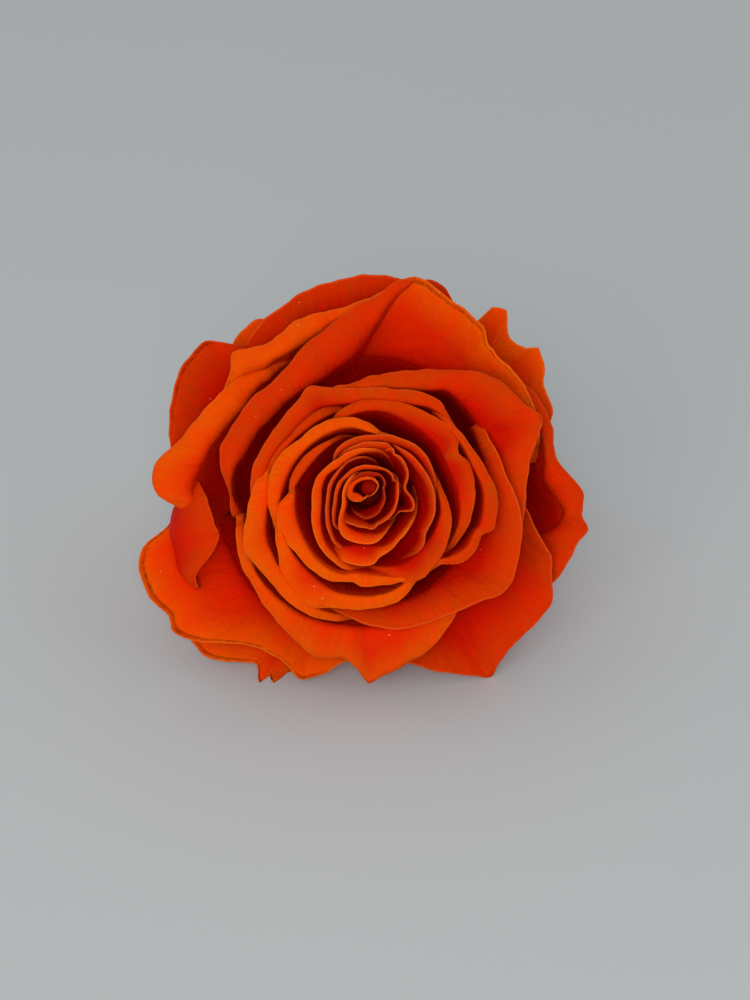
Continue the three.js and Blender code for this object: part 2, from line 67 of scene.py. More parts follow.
def laid(points):
    """The flower's frame to the part's: turned about X until the axis looks up by FACE_TILT,
    moved to ROOT_POINT and put in metres. A height z below PRESSED_HEIGHT h becomes
    h * exp(z / h - 1), so that what would dip below the surface lies flattened on it."""
    tilt = math.radians(FACE_TILT)
    turn = np.array([
        [1, 0, 0],
        [0, math.sin(tilt), -math.cos(tilt)],
        [0, math.cos(tilt), math.sin(tilt)],
    ])
    placed = points @ turn.T + np.array(ROOT_POINT)
    low = np.minimum(placed[:, 2], PRESSED_HEIGHT)
    placed[:, 2] += PRESSED_HEIGHT * np.exp(low / PRESSED_HEIGHT - 1) - low
    return placed / 1000


def linear(code):
    """An sRGB hex colour as linear RGBA: a channel c is ((c + 0.055) / 1.055) ** 2.4, or
    c / 12.92 where it is dark."""
    c = np.array([int(code[i:i + 2], 16) for i in (1, 3, 5)]) / 255
    return (*np.where(c > 0.04045, ((c + 0.055) / 1.055) ** 2.4, c / 12.92), 1.0)


def node(material, kind, inputs=None, **options):
    """Adds one shader node. options are its own settings. inputs go to its sockets, by name or
    number, each as a value or as the output that it is linked to."""
    made = material.node_tree.nodes.new("ShaderNode" + kind)
    for option, value in options.items():
        setattr(made, option, value)
    for socket, value in (inputs or {}).items():
        if isinstance(value, bpy.types.NodeSocket):
            material.node_tree.links.new(value, made.inputs[socket])
        else:
            made.inputs[socket].default_value = value
    return made


def mixed(material, share, first, second):
    """A colour: first, mixed with second by the given share."""
    return node(material, "Mix", {0: share, 6: first, 7: second}, data_type="RGBA").outputs[2]


def noise(material, vector, scale, **settings):
    """A noise pattern, with the given numbers of its grains to each unit of the vector's axes."""
    if isinstance(scale, tuple):
        vector = node(material, "Mapping", {"Vector": vector, "Scale": scale}).outputs[0]
        scale = 1.0
    return node(material, "TexNoise", {"Vector": vector, "Scale": scale, **settings}).outputs[0]


def relief(material, height, strength, depth, below=None):
    """A normal that follows a pattern of the given depth in millimetres, over the one below."""
    inputs = {"Height": height, "Strength": strength, "Distance": depth / 1000}
    if below is not None:
        inputs["Normal"] = below
    return node(material, "Bump", inputs).outputs[0]


def dressed(name, vertices, faces, material, node_name, attributes=None):
    """A finished piece round the given vertices, smooth but for the last part of its faces, a rim
    or cut ends. It has the attributes that its material reads, rides on the one body and stands
    for a CAD node."""
    mesh = bpy.data.meshes.new(name)
    corners = [face for part in faces for face in part.tolist()]
    mesh.from_pydata(laid(vertices).tolist(), [], corners)
    smooth = np.arange(len(mesh.polygons)) < len(mesh.polygons) - len(faces[-1])
    mesh.polygons.foreach_set("use_smooth", smooth)
    for key, values in (attributes or {}).items():
        layer = mesh.attributes.new(key, "FLOAT_VECTOR", "POINT")
        layer.data.foreach_set("vector", values.astype(np.float32).ravel())
    mesh.materials.append(material)
    piece = bpy.data.objects.new(name, mesh)
    bpy.context.scene.collection.objects.link(piece)
    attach(piece, "root")
    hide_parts(node_name)


def spaced(points, step):
    """Places along a broken line, about one step apart, with every corner kept."""
    points = np.array(points, float)
    parts = [points[:1]]
    for start, end in zip(points[:-1], points[1:]):
        count = max(1, round(math.dist(start, end) / step))
        share = np.arange(1, count + 1)[:, None] / count
        parts.append(start + (end - start) * share)
    return np.concatenate(parts)


def turned(profile, sides, ribs, rib_height):
    """A closed body round the axis over (angle, way along the profile): the radius is the
    profile's, raised by rib_height times the cosine of ribs times the angle. The first and last
    points lie on the axis, and fans of triangles close them."""
    angle = np.arange(sides) * 2 * np.pi / sides
    wall = profile[1:-1]
    radius = wall[:, :1] + rib_height * np.cos(ribs * angle)[None, :]
    ring = np.stack([radius * np.cos(angle), radius * np.sin(angle),
                     np.repeat(wall[:, 1:], sides, 1)], -1).reshape(-1, 3)
    ends = np.array([[0, 0, profile[0, 1]], [0, 0, profile[-1, 1]]])
    index = np.arange(len(ring)).reshape(len(wall), sides)
    after = np.roll(index, -1, 1)
    quads = np.stack([index[:-1], after[:-1], after[1:], index[1:]], -1).reshape(-1, 4)
    low = np.full(sides, len(ring))
    fans = np.concatenate([np.stack([low, after[0], index[0]], -1),
                           np.stack([low + 1, index[-1], after[-1]], -1)])
    return np.concatenate([ring, ends]), [quads, fans]


# Waxy skin of a preserved hip: dull green with tan streaks down the ribs, half matt.
hip_skin = bpy.data.materials.new("preserved rose hip skin")
hip_skin.use_nodes = True
hip_shader = hip_skin.node_tree.nodes["Principled BSDF"]
hip_place = node(hip_skin, "TexCoord").outputs["Object"]
streaks = noise(hip_skin, hip_place, 1000 / HIP_STREAK_WIDTH, Detail=3.0, Distortion=0.4)
hip_tint = mixed(hip_skin, streaks, linear(HIP_GREEN), linear(HIP_TAN))
hip_skin.node_tree.links.new(hip_tint, hip_shader.inputs["Base Color"])
hip_bumps = relief(hip_skin, streaks, 0.4, HIP_RELIEF)
hip_skin.node_tree.links.new(hip_bumps, hip_shader.inputs["Normal"])
hip_shader.inputs["Roughness"].default_value = 0.55

hip_points, hip_faces = turned(spaced(HIP_PROFILE, HIP_STEP), HIP_SIDES, HIP_RIBS, HIP_RIB_HEIGHT)
dressed("hip", hip_points, hip_faces, hip_skin, "calyx")


# Sepals
# Five green sepals grow from the top of the hip and lie back against the petals. Each is a
# pointed blade with a raised midrib, thinner towards its edges and streaked paler along it.
SEPAL_AZIMUTHS = (18, 90, 162, 234, 306)
SEPAL_ROWS = [
    (3.8, -2.0, 3.2), (6.6, -1.1, 3.9), (9.0, 0.4, 3.6), (11.4, 2.3, 2.8), (13.6, 4.0, 1.8),
    (15.4, 5.2, 0.25),
]
SEPAL_POINTS = (25, 61)
SEPAL_WIDEST = 3.9
SEPAL_CUP = 0.7
SEPAL_THICKNESS = 0.5
SEPAL_EDGE_THINNING = 0.15
SEPAL_MIDRIB = 0.35
SEPAL_MIDRIB_SHARE = 0.12
SEPAL_GREEN = "#5F6E2C"
SEPAL_PALE = "#8E9455"
SEPAL_VEIN_WIDTH = 0.5
SEPAL_RELIEF = 0.1


def between(rows, key, wanted):
    """Smooth values between listed rows: a cubic through them whose slope at a row is the
    harmonic mean of the slopes on its two sides, and level where they turn."""
    rows = np.array(rows, float)
    key = np.array(key, float)
    step = np.diff(key)[:, None]
    slope = np.diff(rows, axis=0) / step
    before, after = slope[:-1], slope[1:]
    weight_a = 2 * step[1:] + step[:-1]
    weight_b = step[1:] + 2 * step[:-1]
    with np.errstate(divide="ignore", invalid="ignore"):
        mean = (weight_a + weight_b) / (weight_a / before + weight_b / after)
    tangent = np.concatenate([slope[:1], np.where(before * after > 0, mean, 0), slope[-1:]])
    i = np.clip(np.searchsorted(key, wanted, side="right") - 1, 0, len(key) - 2)
    t = ((wanted - key[i]) / (key[i + 1] - key[i]))[:, None]
    return ((1 + 2 * t) * (1 - t) ** 2 * rows[i] + t * (1 - t) ** 2 * step[i] * tangent[i]
            + t * t * (3 - 2 * t) * rows[i + 1] + t * t * (t - 1) * step[i] * tangent[i + 1])


def normals(sheet):
    """Unit normals of a grid of points: the cross product of the steps along and across."""
    across = np.gradient(sheet, axis=0)
    along = np.gradient(sheet, axis=1)
    raw = np.cross(along, across)
    return raw / np.maximum(np.linalg.norm(raw, axis=-1, keepdims=True), 1e-9)


def blade(sheet, half_thickness):
    """A closed blade round a sheet of points: each side lies half the thickness away along the
    normal, and a narrow strip closes the rim."""
    offset = normals(sheet) * half_thickness[..., None]
    across, along = sheet.shape[:2]
    count = across * along
    points = np.concatenate([(sheet + offset).reshape(-1, 3), (sheet - offset).reshape(-1, 3)])
    index = np.arange(count).reshape(across, along)

    def patch(lines):
        return np.stack([lines[:-1, :-1], lines[1:, :-1], lines[1:, 1:], lines[:-1, 1:]],
                        -1).reshape(-1, 4)

    rim = np.concatenate([index[:, 0], index[-1, 1:], index[-2::-1, -1], index[0, -2:0:-1]])
    wall = np.stack([rim, np.roll(rim, -1), np.roll(rim, -1) + count, rim + count], -1)
    return points, [patch(index)[:, ::-1], patch(index) + count, wall]


def sepal_sheet(azimuth):
    """A sepal over (place across -1 to 1, way along): the rows' radius and height along the
    midrib, their half width across it, edges raised by SEPAL_CUP times the place squared."""
    across = np.linspace(-1, 1, SEPAL_POINTS[0])[:, None]
    way = np.linspace(0, len(SEPAL_ROWS) - 1, SEPAL_POINTS[1])
    radius, height, half = between(SEPAL_ROWS, np.arange(len(SEPAL_ROWS)), way).T
    sheet = np.stack([radius + 0 * across, across * half,
                      height + SEPAL_CUP * across ** 2 * half / SEPAL_WIDEST], -1)
    angle = math.radians(azimuth)
    turn = np.array([
        [math.cos(angle), -math.sin(angle), 0],
        [math.sin(angle), math.cos(angle), 0],
        [0, 0, 1],
    ])
    return sheet @ turn.T, np.abs(across) + 0 * way


# Leaf tissue kept soft with glycerine: dull green with paler streaks along it for fine veins.
sepal_leaf = bpy.data.materials.new("preserved rose sepal")
sepal_leaf.use_nodes = True
sepal_shader = sepal_leaf.node_tree.nodes["Principled BSDF"]
sepal_place = node(sepal_leaf, "Attribute", attribute_name="blade_mm").outputs["Vector"]
sepal_veins = noise(sepal_leaf, sepal_place, 1 / SEPAL_VEIN_WIDTH, Detail=2.0)
sepal_tint = mixed(sepal_leaf, sepal_veins, linear(SEPAL_GREEN), linear(SEPAL_PALE))
sepal_leaf.node_tree.links.new(sepal_tint, sepal_shader.inputs["Base Color"])
sepal_bumps = relief(sepal_leaf, sepal_veins, 0.5, SEPAL_RELIEF)
sepal_leaf.node_tree.links.new(sepal_bumps, sepal_shader.inputs["Normal"])
sepal_shader.inputs["Roughness"].default_value = 0.6

for number, azimuth in enumerate(SEPAL_AZIMUTHS, 1):
    sheet, place_across = sepal_sheet(azimuth)
    midrib = SEPAL_MIDRIB * np.exp(-(place_across / SEPAL_MIDRIB_SHARE) ** 2)
    half = SEPAL_THICKNESS / 2 + midrib - SEPAL_EDGE_THINNING * place_across
    points, faces = blade(sheet, half)
    blade_mm = np.zeros((place_across.size, 3))
    blade_mm[:, 0] = place_across.ravel() * SEPAL_WIDEST
    dressed(f"sepal_{number}", points, faces, sepal_leaf, "calyx",
            {"blade_mm": np.concatenate([blade_mm, blade_mm])})


# Receptacle
# The fleshy end of the stem inside the flower, which every petal is seated on. It is a blunt
# cone, dyed through with the petals, and only deep gaps between them let it be seen.
RECEPTACLE_PROFILE = [
    (0.0, -0.2), (4.9, -0.2), (6.0, 1.0), (6.1, 3.0), (5.2, 8.0), (4.0, 14.0), (3.0, 20.0),
    (2.0, 25.0), (1.0, 28.0), (0.0, 29.0),
]
RECEPTACLE_SIDES = 48
RECEPTACLE_STEP = 1.0
RECEPTACLE_RIBS = 5
RECEPTACLE_RIB_HEIGHT = 0.1
FLESH_DARK = "#C01000"
FLESH_RED = "#D82000"
FLESH_GRAIN = 1.5

receptacle_flesh = bpy.data.materials.new("dyed rose receptacle")
receptacle_flesh.use_nodes = True
receptacle_shader = receptacle_flesh.node_tree.nodes["Principled BSDF"]
flesh_place = node(receptacle_flesh, "TexCoord").outputs["Object"]
flesh_grain = noise(receptacle_flesh, flesh_place, 1000 / FLESH_GRAIN, Detail=3.0)
flesh_tint = mixed(receptacle_flesh, flesh_grain, linear(FLESH_DARK), linear(FLESH_RED))
receptacle_flesh.node_tree.links.new(flesh_tint, receptacle_shader.inputs["Base Color"])
receptacle_shader.inputs["Roughness"].default_value = 0.8

receptacle_points, receptacle_faces = turned(
    spaced(RECEPTACLE_PROFILE, RECEPTACLE_STEP), RECEPTACLE_SIDES, RECEPTACLE_RIBS,
    RECEPTACLE_RIB_HEIGHT)
dressed("receptacle", receptacle_points, receptacle_faces, receptacle_flesh, "bloom")


# Outer petals
# The widest petals, which opened first: broad blades that narrow to a claw on the receptacle,
# with thin, curled and partly torn margins. The lowest lie flattened on the surface.
# A petal is its root, as radius and height on the receptacle, and rows across it: azimuth, radius
# and height of the crest that it turns over at, radius and height of its free edge.
RIM_THICKNESS = 0.16
RIM_TAPER = 1.2
NICK_LENGTH = 4.5
TAIL_SLOPE = 0.12
TAIL_LIP = 0.1
LIP_LEAST = 0.2
LIP_LAST_LINE = 0.97
RIM_RADIUS_LEAST = 2.0
BODY_CROWDING = 0.85
ROOT_RISE = 35.0
ROOT_HANDLE = 0.42
NECK_HANDLE = 0.4
ROOT_SPREAD = 14.0
ROOT_SPREAD_LEAST = 0.15
LEAN_GAIN = 1.4
LEAN_RANGE = (-8.0, 75.0)
NECK_DROP_MOST = 3.5
SWELL = 2.4
SWELL_RADIUS = 21.0
PRESSED_FROM = 0.3
CLAW_SHARE = 0.6
CLAW_REACH = 0.55
CLAW_CURVE = 0.7
PATTERN_SHIFT_MOST = 500.0
MOTTLES_PER_MM = (0.2, 0.13, 0.0)
VEINS_PER_MM = (2.4, 0.16, 0.0)
CRINKLES_PER_MM = (0.9, 0.35, 0.0)
PAPILLA_SIZE = 0.22
MOTTLE_MOST = 0.35
VEIN_MOST = 0.3
# The band along the free edge and sides that is painted lighter, for light shining through the thin
# rim.
EDGE_GLOW_WIDTH = 0.3
EDGE_GLOW_MOST = 0.5
SPECK_SPACING = 1.1
SPECK_RADIUS = 0.09
SPECK_SHARE = 0.05
SPECK_MOST = 0.4
SPECK_COLOUR = "#FFD9B0"
CRINKLE_RELIEF = 0.5
VEIN_RELIEF = 0.12
PAPILLA_RELIEF = 0.06
LIT_TINT = "#FF8A4A"

# What the petals of a ring share: lean is added to the slant that they reach the neck with, in
# degrees. The neck lies below the crest by drop[0] and drop[1] of the lip's width, and a smaller
# fold makes the turn rounder. Wave and nick are the heights of the waved and of the uneven edge.
OUTER = dict(lean=-20, drop=(0.6, 0.5), fold=0.33, wave=0.30, wave_length=9.0, wave_reach=6.0,
             nick=0.10, thickness=0.36, step=0.6, tail=None)
# Petals that take the lighter copy of the petal colour, painted light; the rest take the darker
# copy, painted shade.
OUTER_PAINTED_LIT = {
    "band_left", "curl_top", "fan_top", "wing_left", "torn_right", "under_left", "back_tip",
}
OUTER_PETALS = {
    "under_left": ((5.7, 2), [
        [205, 20.0, 17.5, 26.0, 19.4], [212, 20.6, 19.6, 29.6, 22.0], [218, 20.9, 20.6, 31.4, 22.8],
        [224, 21.0, 21.0, 31.6, 23.0], [229, 21.0, 21.0, 30.6, 23.2], [233, 21.0, 21.0, 29.0, 23.4],
        [237, 21.0, 21.0, 27.8, 24.0], [241, 21.0, 21.2, 30.0, 26.4],
        [242.5, 21.0, 21.2, 28.7, 24.6], [244.5, 21.0, 21.0, 29.5, 26.0],
        [246.5, 20.9, 20.8, 27.4, 24.0], [252, 20.2, 20.6, 25.0, 24.2],
        [260, 19.2, 19.4, 22.6, 23.4],
    ]),
    "wing_up": ((5.6, 2), [
        [128, 21.2, 22.0, 25.0, 24.2], [131, 21.4, 24.0, 26.4, 26.8],
        [134.5, 21.6, 25.0, 28.6, 28.0], [137, 21.7, 25.4, 30.0, 28.2],
        [142, 21.8, 25.8, 30.2, 28.6], [150, 21.9, 26.0, 29.8, 28.8], [160, 22.0, 26.0, 28.3, 29.0],
        [168, 22.0, 25.6, 27.1, 28.8], [176, 21.8, 24.4, 26.6, 27.4], [186, 21.2, 21.0, 24.6, 23.4],
    ]),
    "back_tip": ((5.7, 2), [
        [112, 20.6, 16.0, 25.0, 17.6], [119, 21.0, 18.0, 27.2, 20.4], [124, 21.2, 18.8, 28.2, 21.4],
        [130, 21.2, 18.6, 27.8, 21.2], [136, 21.0, 17.6, 26.4, 19.8], [144, 20.4, 15.0, 24.0, 16.6],
    ]),
    "back_top": ((5.6, 2), [
        [60, 22.4, 22.0, 25.0, 24.6], [66, 23.8, 24.4, 28.3, 27.0], [70, 24.7, 25.4, 29.7, 27.8],
        [73, 25.2, 26.0, 29.9, 28.2], [77, 25.5, 26.6, 29.3, 29.0], [83, 24.9, 27.2, 29.1, 29.6],
        [90, 24.1, 27.4, 29.3, 29.8], [100, 23.3, 27.2, 28.6, 29.8], [110, 22.7, 26.8, 28.1, 29.4],
        [118, 22.2, 26.0, 27.3, 28.8], [125, 21.7, 24.6, 26.6, 27.4], [134, 21.0, 21.6, 25.0, 24.0],
    ]),
    "torn_right": ((5.6, 2), [
        [12, 22.6, 21.0, 24.6, 23.5], [20, 23.5, 23.4, 26.2, 26.6], [25, 23.8, 24.4, 27.6, 27.6],
        [31, 24.0, 24.8, 28.1, 28.0], [36, 23.9, 25.0, 29.5, 27.8], [40, 23.7, 25.0, 30.3, 27.4],
        [42, 23.5, 25.0, 28.9, 27.9], [47, 22.9, 25.0, 28.3, 28.0], [50, 22.5, 25.0, 29.5, 27.6],
        [52.5, 22.2, 24.8, 31.0, 27.0], [55.5, 21.9, 24.4, 30.3, 26.8],
        [57, 21.8, 24.0, 26.8, 27.4], [64, 21.3, 23.2, 26.0, 26.6], [72, 20.8, 21.0, 24.4, 24.0],
    ]),
    "wing_right": ((5.5, 3), [
        [-36, 20.6, 22.0, 25.0, 24.0], [-28, 21.4, 25.4, 27.4, 28.0], [-21, 22.6, 27.6, 28.6, 29.2],
        [-14, 24.2, 29.2, 29.2, 29.8], [-9.5, 26.4, 30.6, 30.2, 29.6], [-6, 26.8, 31.8, 28.9, 31.0],
        [-1, 25.4, 32.6, 29.1, 31.2], [3, 24.2, 33.0, 27.9, 31.8], [7, 23.9, 33.2, 26.5, 32.4],
        [12, 24.2, 33.2, 25.7, 32.6], [20, 24.9, 33.0, 26.3, 32.4], [28, 25.0, 32.0, 26.2, 31.4],
        [36, 24.6, 29.4, 25.6, 29.0], [44, 23.6, 25.0, 24.6, 24.8],
    ]),
    "wing_foot": ((5.5, 3), [
        [274, 19.0, 23.0, 22.0, 24.5], [283, 19.4, 25.6, 23.7, 28.2], [290, 19.6, 26.6, 25.4, 28.4],
        [297, 19.6, 27.0, 27.8, 27.2], [301, 19.6, 27.0, 29.2, 26.2],
        [303.5, 19.6, 27.0, 30.4, 25.2], [307, 19.6, 27.2, 29.5, 26.2],
        [312, 19.6, 27.4, 28.7, 27.2], [320, 19.6, 27.8, 28.8, 28.0], [328, 19.6, 28.2, 29.1, 28.6],
        [334, 19.6, 28.6, 27.7, 29.8], [341, 19.6, 29.2, 26.1, 31.2], [348, 19.6, 29.8, 23.0, 32.6],
        [355, 19.4, 29.6, 21.2, 32.4], [365, 19.2, 28.0, 20.4, 30.0],
    ]),
    "wing_left": ((5.4, 3), [
        [186, 20.6, 23.0, 25.8, 24.6], [190, 20.6, 24.4, 27.6, 27.0], [194, 20.6, 25.2, 31.3, 28.0],
        [198, 20.6, 25.8, 32.5, 28.2], [206, 20.6, 26.2, 32.7, 28.0], [212, 20.6, 26.4, 31.6, 28.0],
        [215, 20.6, 26.6, 32.4, 27.8], [221, 20.6, 26.8, 30.6, 28.0], [226, 20.6, 27.0, 28.4, 28.6],
        [232, 20.5, 27.2, 26.2, 29.2], [238, 20.4, 27.2, 25.4, 29.2], [245, 20.3, 27.2, 25.7, 28.8],
        [250, 20.2, 27.0, 26.9, 28.0], [256, 20.0, 26.6, 25.2, 28.2], [262, 19.8, 26.0, 23.4, 28.2],
        [270, 19.4, 24.8, 22.0, 27.0],
    ]),
    "flap_left": ((5.2, 4), [
        [174, 23.4, 29.0, 23.0, 29.6], [178, 24.2, 31.2, 22.2, 32.6], [182, 25.4, 31.8, 21.5, 34.2],
        [187, 26.5, 32.1, 21.0, 34.6], [192, 27.0, 32.2, 20.7, 34.6], [196, 27.0, 32.2, 20.4, 34.2],
        [200, 27.2, 32.0, 21.4, 33.6], [203, 27.2, 31.6, 23.2, 33.0], [206, 27.0, 30.6, 25.6, 31.4],
        [210, 26.6, 28.8, 26.2, 29.2],
    ]),
    "band_left": ((5.2, 4), [
        [118, 20.5, 30.0, 21.5, 29.6], [128, 20.2, 34.2, 21.9, 33.6], [138, 20.1, 35.8, 22.9, 34.8],
        [148, 20.3, 36.4, 23.6, 35.0], [158, 21.0, 36.6, 24.9, 34.8], [166, 21.9, 36.6, 26.4, 34.2],
        [172, 22.6, 36.4, 28.3, 33.4], [177, 23.2, 36.0, 28.9, 32.8], [181, 23.4, 35.0, 27.9, 32.6],
        [184, 23.2, 33.0, 25.4, 32.0], [190, 22.4, 28.0, 23.4, 27.4],
    ]),
    "curl_top": ((5.1, 5), [
        [76, 24.8, 31.0, 25.6, 30.8], [86, 24.9, 34.8, 26.0, 34.2], [94, 23.9, 35.8, 25.1, 35.2],
        [102, 22.7, 36.4, 24.7, 35.4], [112, 21.7, 36.8, 24.6, 35.2], [122, 21.4, 37.0, 23.7, 35.6],
        [129, 21.5, 37.0, 24.6, 35.0], [134, 22.2, 36.6, 25.7, 34.4], [138, 22.8, 35.8, 24.6, 34.8],
        [144, 22.6, 33.2, 23.6, 32.6], [152, 22.0, 29.5, 22.8, 29.0],
    ]),
    "fan_top": ((5.0, 5), [
        [10, 19.0, 26.0, 23.0, 29.0], [20, 18.8, 28.6, 24.6, 33.2], [30, 18.7, 29.6, 25.1, 35.0],
        [42, 18.6, 30.0, 25.1, 36.0], [50, 18.5, 30.2, 25.2, 36.2], [55, 18.5, 30.3, 26.9, 36.0],
        [62, 18.5, 30.4, 27.5, 36.2], [70, 18.5, 30.5, 28.3, 36.6], [77.5, 18.5, 30.5, 29.1, 36.9],
        [84, 18.5, 30.3, 27.2, 36.6], [92, 18.5, 29.8, 25.0, 35.6], [102, 18.4, 28.6, 22.5, 33.5],
        [114, 18.0, 26.5, 20.0, 30.5],
    ]),
    "fold_left": ((4.8, 6), [
        [77.5, 28.3, 37.6, 29.0, 37.2], [82, 25.9, 38.2, 28.4, 37.3], [87, 22.4, 38.8, 26.0, 37.4],
        [92, 19.5, 39.2, 25.0, 37.4], [100, 17.5, 39.4, 23.0, 37.6], [110, 16.4, 39.4, 21.5, 37.6],
        [120, 16.0, 39.4, 20.0, 37.8], [130, 16.0, 39.4, 19.3, 38.0], [142, 16.3, 39.2, 19.5, 37.8],
        [154, 16.7, 39.0, 19.9, 37.4], [164, 17.2, 38.6, 20.2, 37.0], [172, 18.0, 37.8, 19.5, 36.8],
        [180, 17.9, 35.6, 18.5, 35.0], [190, 17.6, 32.0, 18.0, 31.6],
    ]),
}


def wavy(places, wavelength, draw):
    """A wandering line between about -1 and 1: half the sum of four sines with drawn phases, whose
    wavelengths are stretch times the one given."""
    phase = draw.uniform(0, 2 * np.pi, 4)
    stretch = np.array([1.9, 1.0, 0.62, 0.35])
    height = np.array([0.9, 1.0, 0.7, 0.45])
    angle = 2 * np.pi * places[..., None] / (wavelength * stretch) + phase
    return (np.sin(angle) * height).sum(-1) / 2


def tailed(rows, tail):
    """Rows with one more at each end, tail[0] degrees further round and tail[1] mm lower, so that
    the side margins of the petal run down into the gaps instead of ending at the top."""
    if tail is None:
        return rows
    turn, fall = tail
    ends = []
    for row, side in ((rows[0], -1), (rows[-1], 1)):
        radius = row[1] - TAIL_SLOPE * fall
        ends.append([row[0] + side * turn, radius, row[2] - fall, radius + TAIL_LIP, row[2] - fall])
    return np.concatenate([ends[:1], rows, ends[1:]])


def petal_sheet(root, rows, ring, draw):
    """A petal over (azimuth, way from root to rim). In the half-plane of each azimuth the way is
    a cubic from the root to the neck below the crest, bellied out, then a cubic that turns over
    the crest and ends on the free edge. Near the root the azimuths close up to the claw."""
    rows = tailed(np.array(rows, float), ring["tail"])
    reach = math.radians(max(rows[:, 3].mean(), RIM_RADIUS_LEAST))
    azimuth = spaced(rows[:, :1] * [[reach, 0]], ring["step"])[:, 0] / reach
    crest_r, crest_z, edge_r, edge_z = between(rows[:, 1:], rows[:, 0], azimuth).T
    crest = np.stack([crest_r, crest_z], -1)
    edge = np.stack([edge_r, edge_z], -1)
    width = np.linalg.norm(edge - crest, axis=-1)
    outward = (edge - crest) / np.maximum(width, LIP_LEAST)[:, None]
    rim_place = np.radians(azimuth) * np.mean(edge_r)
    edge = edge + outward * (ring["nick"] * wavy(rim_place, NICK_LENGTH, draw))[:, None]
    drop = np.minimum(ring["drop"][0] + ring["drop"][1] * width, NECK_DROP_MOST)
    neck = crest - np.stack([0 * drop, drop], -1)
    start = np.array(root, float) + 0 * neck
    way = neck - start
    length = np.linalg.norm(way, axis=-1)
    slant = np.degrees(np.arctan2(way[:, 0], way[:, 1]))
    lean = np.radians(np.clip(LEAN_GAIN * slant + ring["lean"], *LEAN_RANGE))
    rise = math.radians(ROOT_RISE)
    spread = np.clip(way[:, 0] / ROOT_SPREAD, ROOT_SPREAD_LEAST, 1)
    low = start + (ROOT_HANDLE * length)[:, None] * np.stack(
        [math.cos(rise) * spread, math.sin(rise) + 0 * spread], -1)
    high = neck - (NECK_HANDLE * length)[:, None] * np.stack([np.sin(lean), np.cos(lean)], -1)
    body_count = max(8, round(np.mean(length) / ring["step"]))
    t = (np.linspace(0, 1, body_count + 1) ** BODY_CROWDING)[None, :, None]
    body = ((1 - t) ** 3 * start[:, None] + 3 * t * (1 - t) ** 2 * low[:, None]
            + 3 * t * t * (1 - t) * high[:, None] + t ** 3 * neck[:, None])
    pressed = np.clip((-np.sin(np.radians(azimuth)) - PRESSED_FROM) / (1 - PRESSED_FROM), 0, 1)
    swell = SWELL * (1 - pressed) * np.minimum(crest_r / SWELL_RADIUS, 1) ** 2
    body[..., 0] += swell[:, None] * np.sin(np.pi * t[..., 0])
    lip_count = max(7, round(np.mean(width + drop) / ring["step"] * 2))
    t = np.append(np.linspace(0, 1, lip_count + 1)[1:-1], [LIP_LAST_LINE, 1])[None, :, None]
    before = crest + (neck - crest) * ring["fold"]
    after = crest + (edge - crest) * ring["fold"]
    lip = ((1 - t) ** 3 * neck[:, None] + 3 * t * (1 - t) ** 2 * before[:, None]
           + 3 * t * t * (1 - t) * after[:, None] + t ** 3 * edge[:, None])
    profile = np.concatenate([body, lip], 1)
    share = np.linspace(0, 1, profile.shape[1])
    claw = CLAW_SHARE + (1 - CLAW_SHARE) * np.clip(share / CLAW_REACH, 0, 1) ** CLAW_CURVE
    middle = azimuth.mean()
    angle = np.radians(middle + (azimuth[:, None] - middle) * claw)
    sheet = np.stack([profile[..., 0] * np.cos(angle), profile[..., 0] * np.sin(angle),
                      profile[..., 1]], -1)
    return sheet, rim_place


def distances(sheet):
    """How far each point of a sheet is from its rim along the petal, and from the nearest free
    edge, rim or side, both measured along the grid."""
    along = np.linalg.norm(np.diff(sheet, axis=1), axis=-1)
    to_rim = np.pad(along[:, ::-1].cumsum(1)[:, ::-1], ((0, 0), (0, 1)))
    across = np.linalg.norm(np.diff(sheet, axis=0), axis=-1)
    from_start = np.pad(across.cumsum(0), ((1, 0), (0, 0)))
    to_side = np.minimum(from_start, from_start[-1:] - from_start)
    return to_rim, np.minimum(to_rim, to_side)


def petal(name, root, rows, ring, material, seed, centre=(0.0, 0.0)):
    """One petal: its sheet, waved along the normal near the free edge, as a blade that thins
    towards its rim. The attribute holds, in millimetres, the place across along the veins, the
    way to the rim and the way to the nearest edge."""
    draw = np.random.default_rng(seed)
    sheet, rim_place = petal_sheet(root, rows, ring, draw)
    sheet[..., :2] += centre
    to_rim, to_edge = distances(sheet)
    fade = np.exp(-to_edge / ring["wave_reach"])
    wave = ring["wave"] * fade * wavy(rim_place, ring["wave_length"], draw)[:, None]
    sheet = sheet + normals(sheet) * wave[..., None]
    thin = 1 - np.clip(to_edge / RIM_TAPER, 0, 1)
    thick = ring["thickness"]
    half = (thick + (RIM_THICKNESS - thick) * thin) / 2
    points, faces = blade(sheet, half)
    across = rim_place[:, None] + draw.uniform(0, PATTERN_SHIFT_MOST) + 0 * to_rim
    petal_mm = np.stack([across, to_rim, to_edge], -1).reshape(-1, 3)
    dressed("petal_" + name, points, faces, material, "bloom",
            {"petal_mm": np.concatenate([petal_mm, petal_mm])})


def faded(material, value, start, end, low, high):
    """Goes from low to high while the value goes from start to end, and no further."""
    return node(material, "MapRange", {0: value, 1: start, 2: end, 3: low, 4: high}).outputs[0]


def speck_places(material, where):
    """1 on a few round grains of dust, scattered SPECK_SPACING apart, and 0 elsewhere."""
    grains = node(material, "TexVoronoi", {"Vector": where, "Scale": 1000 / SPECK_SPACING})
    draw = node(material, "SeparateXYZ", {0: grains.outputs["Color"]}).outputs[0]
    chosen = node(material, "Math", {0: draw, 1: 1 - SPECK_SHARE}, operation="GREATER_THAN")
    close = node(material, "Math", {
        0: grains.outputs["Distance"], 1: SPECK_RADIUS / SPECK_SPACING}, operation="LESS_THAN")
    return node(material, "Math", {
        0: chosen.outputs[0], 1: close.outputs[0]}, operation="MULTIPLY").outputs[0]


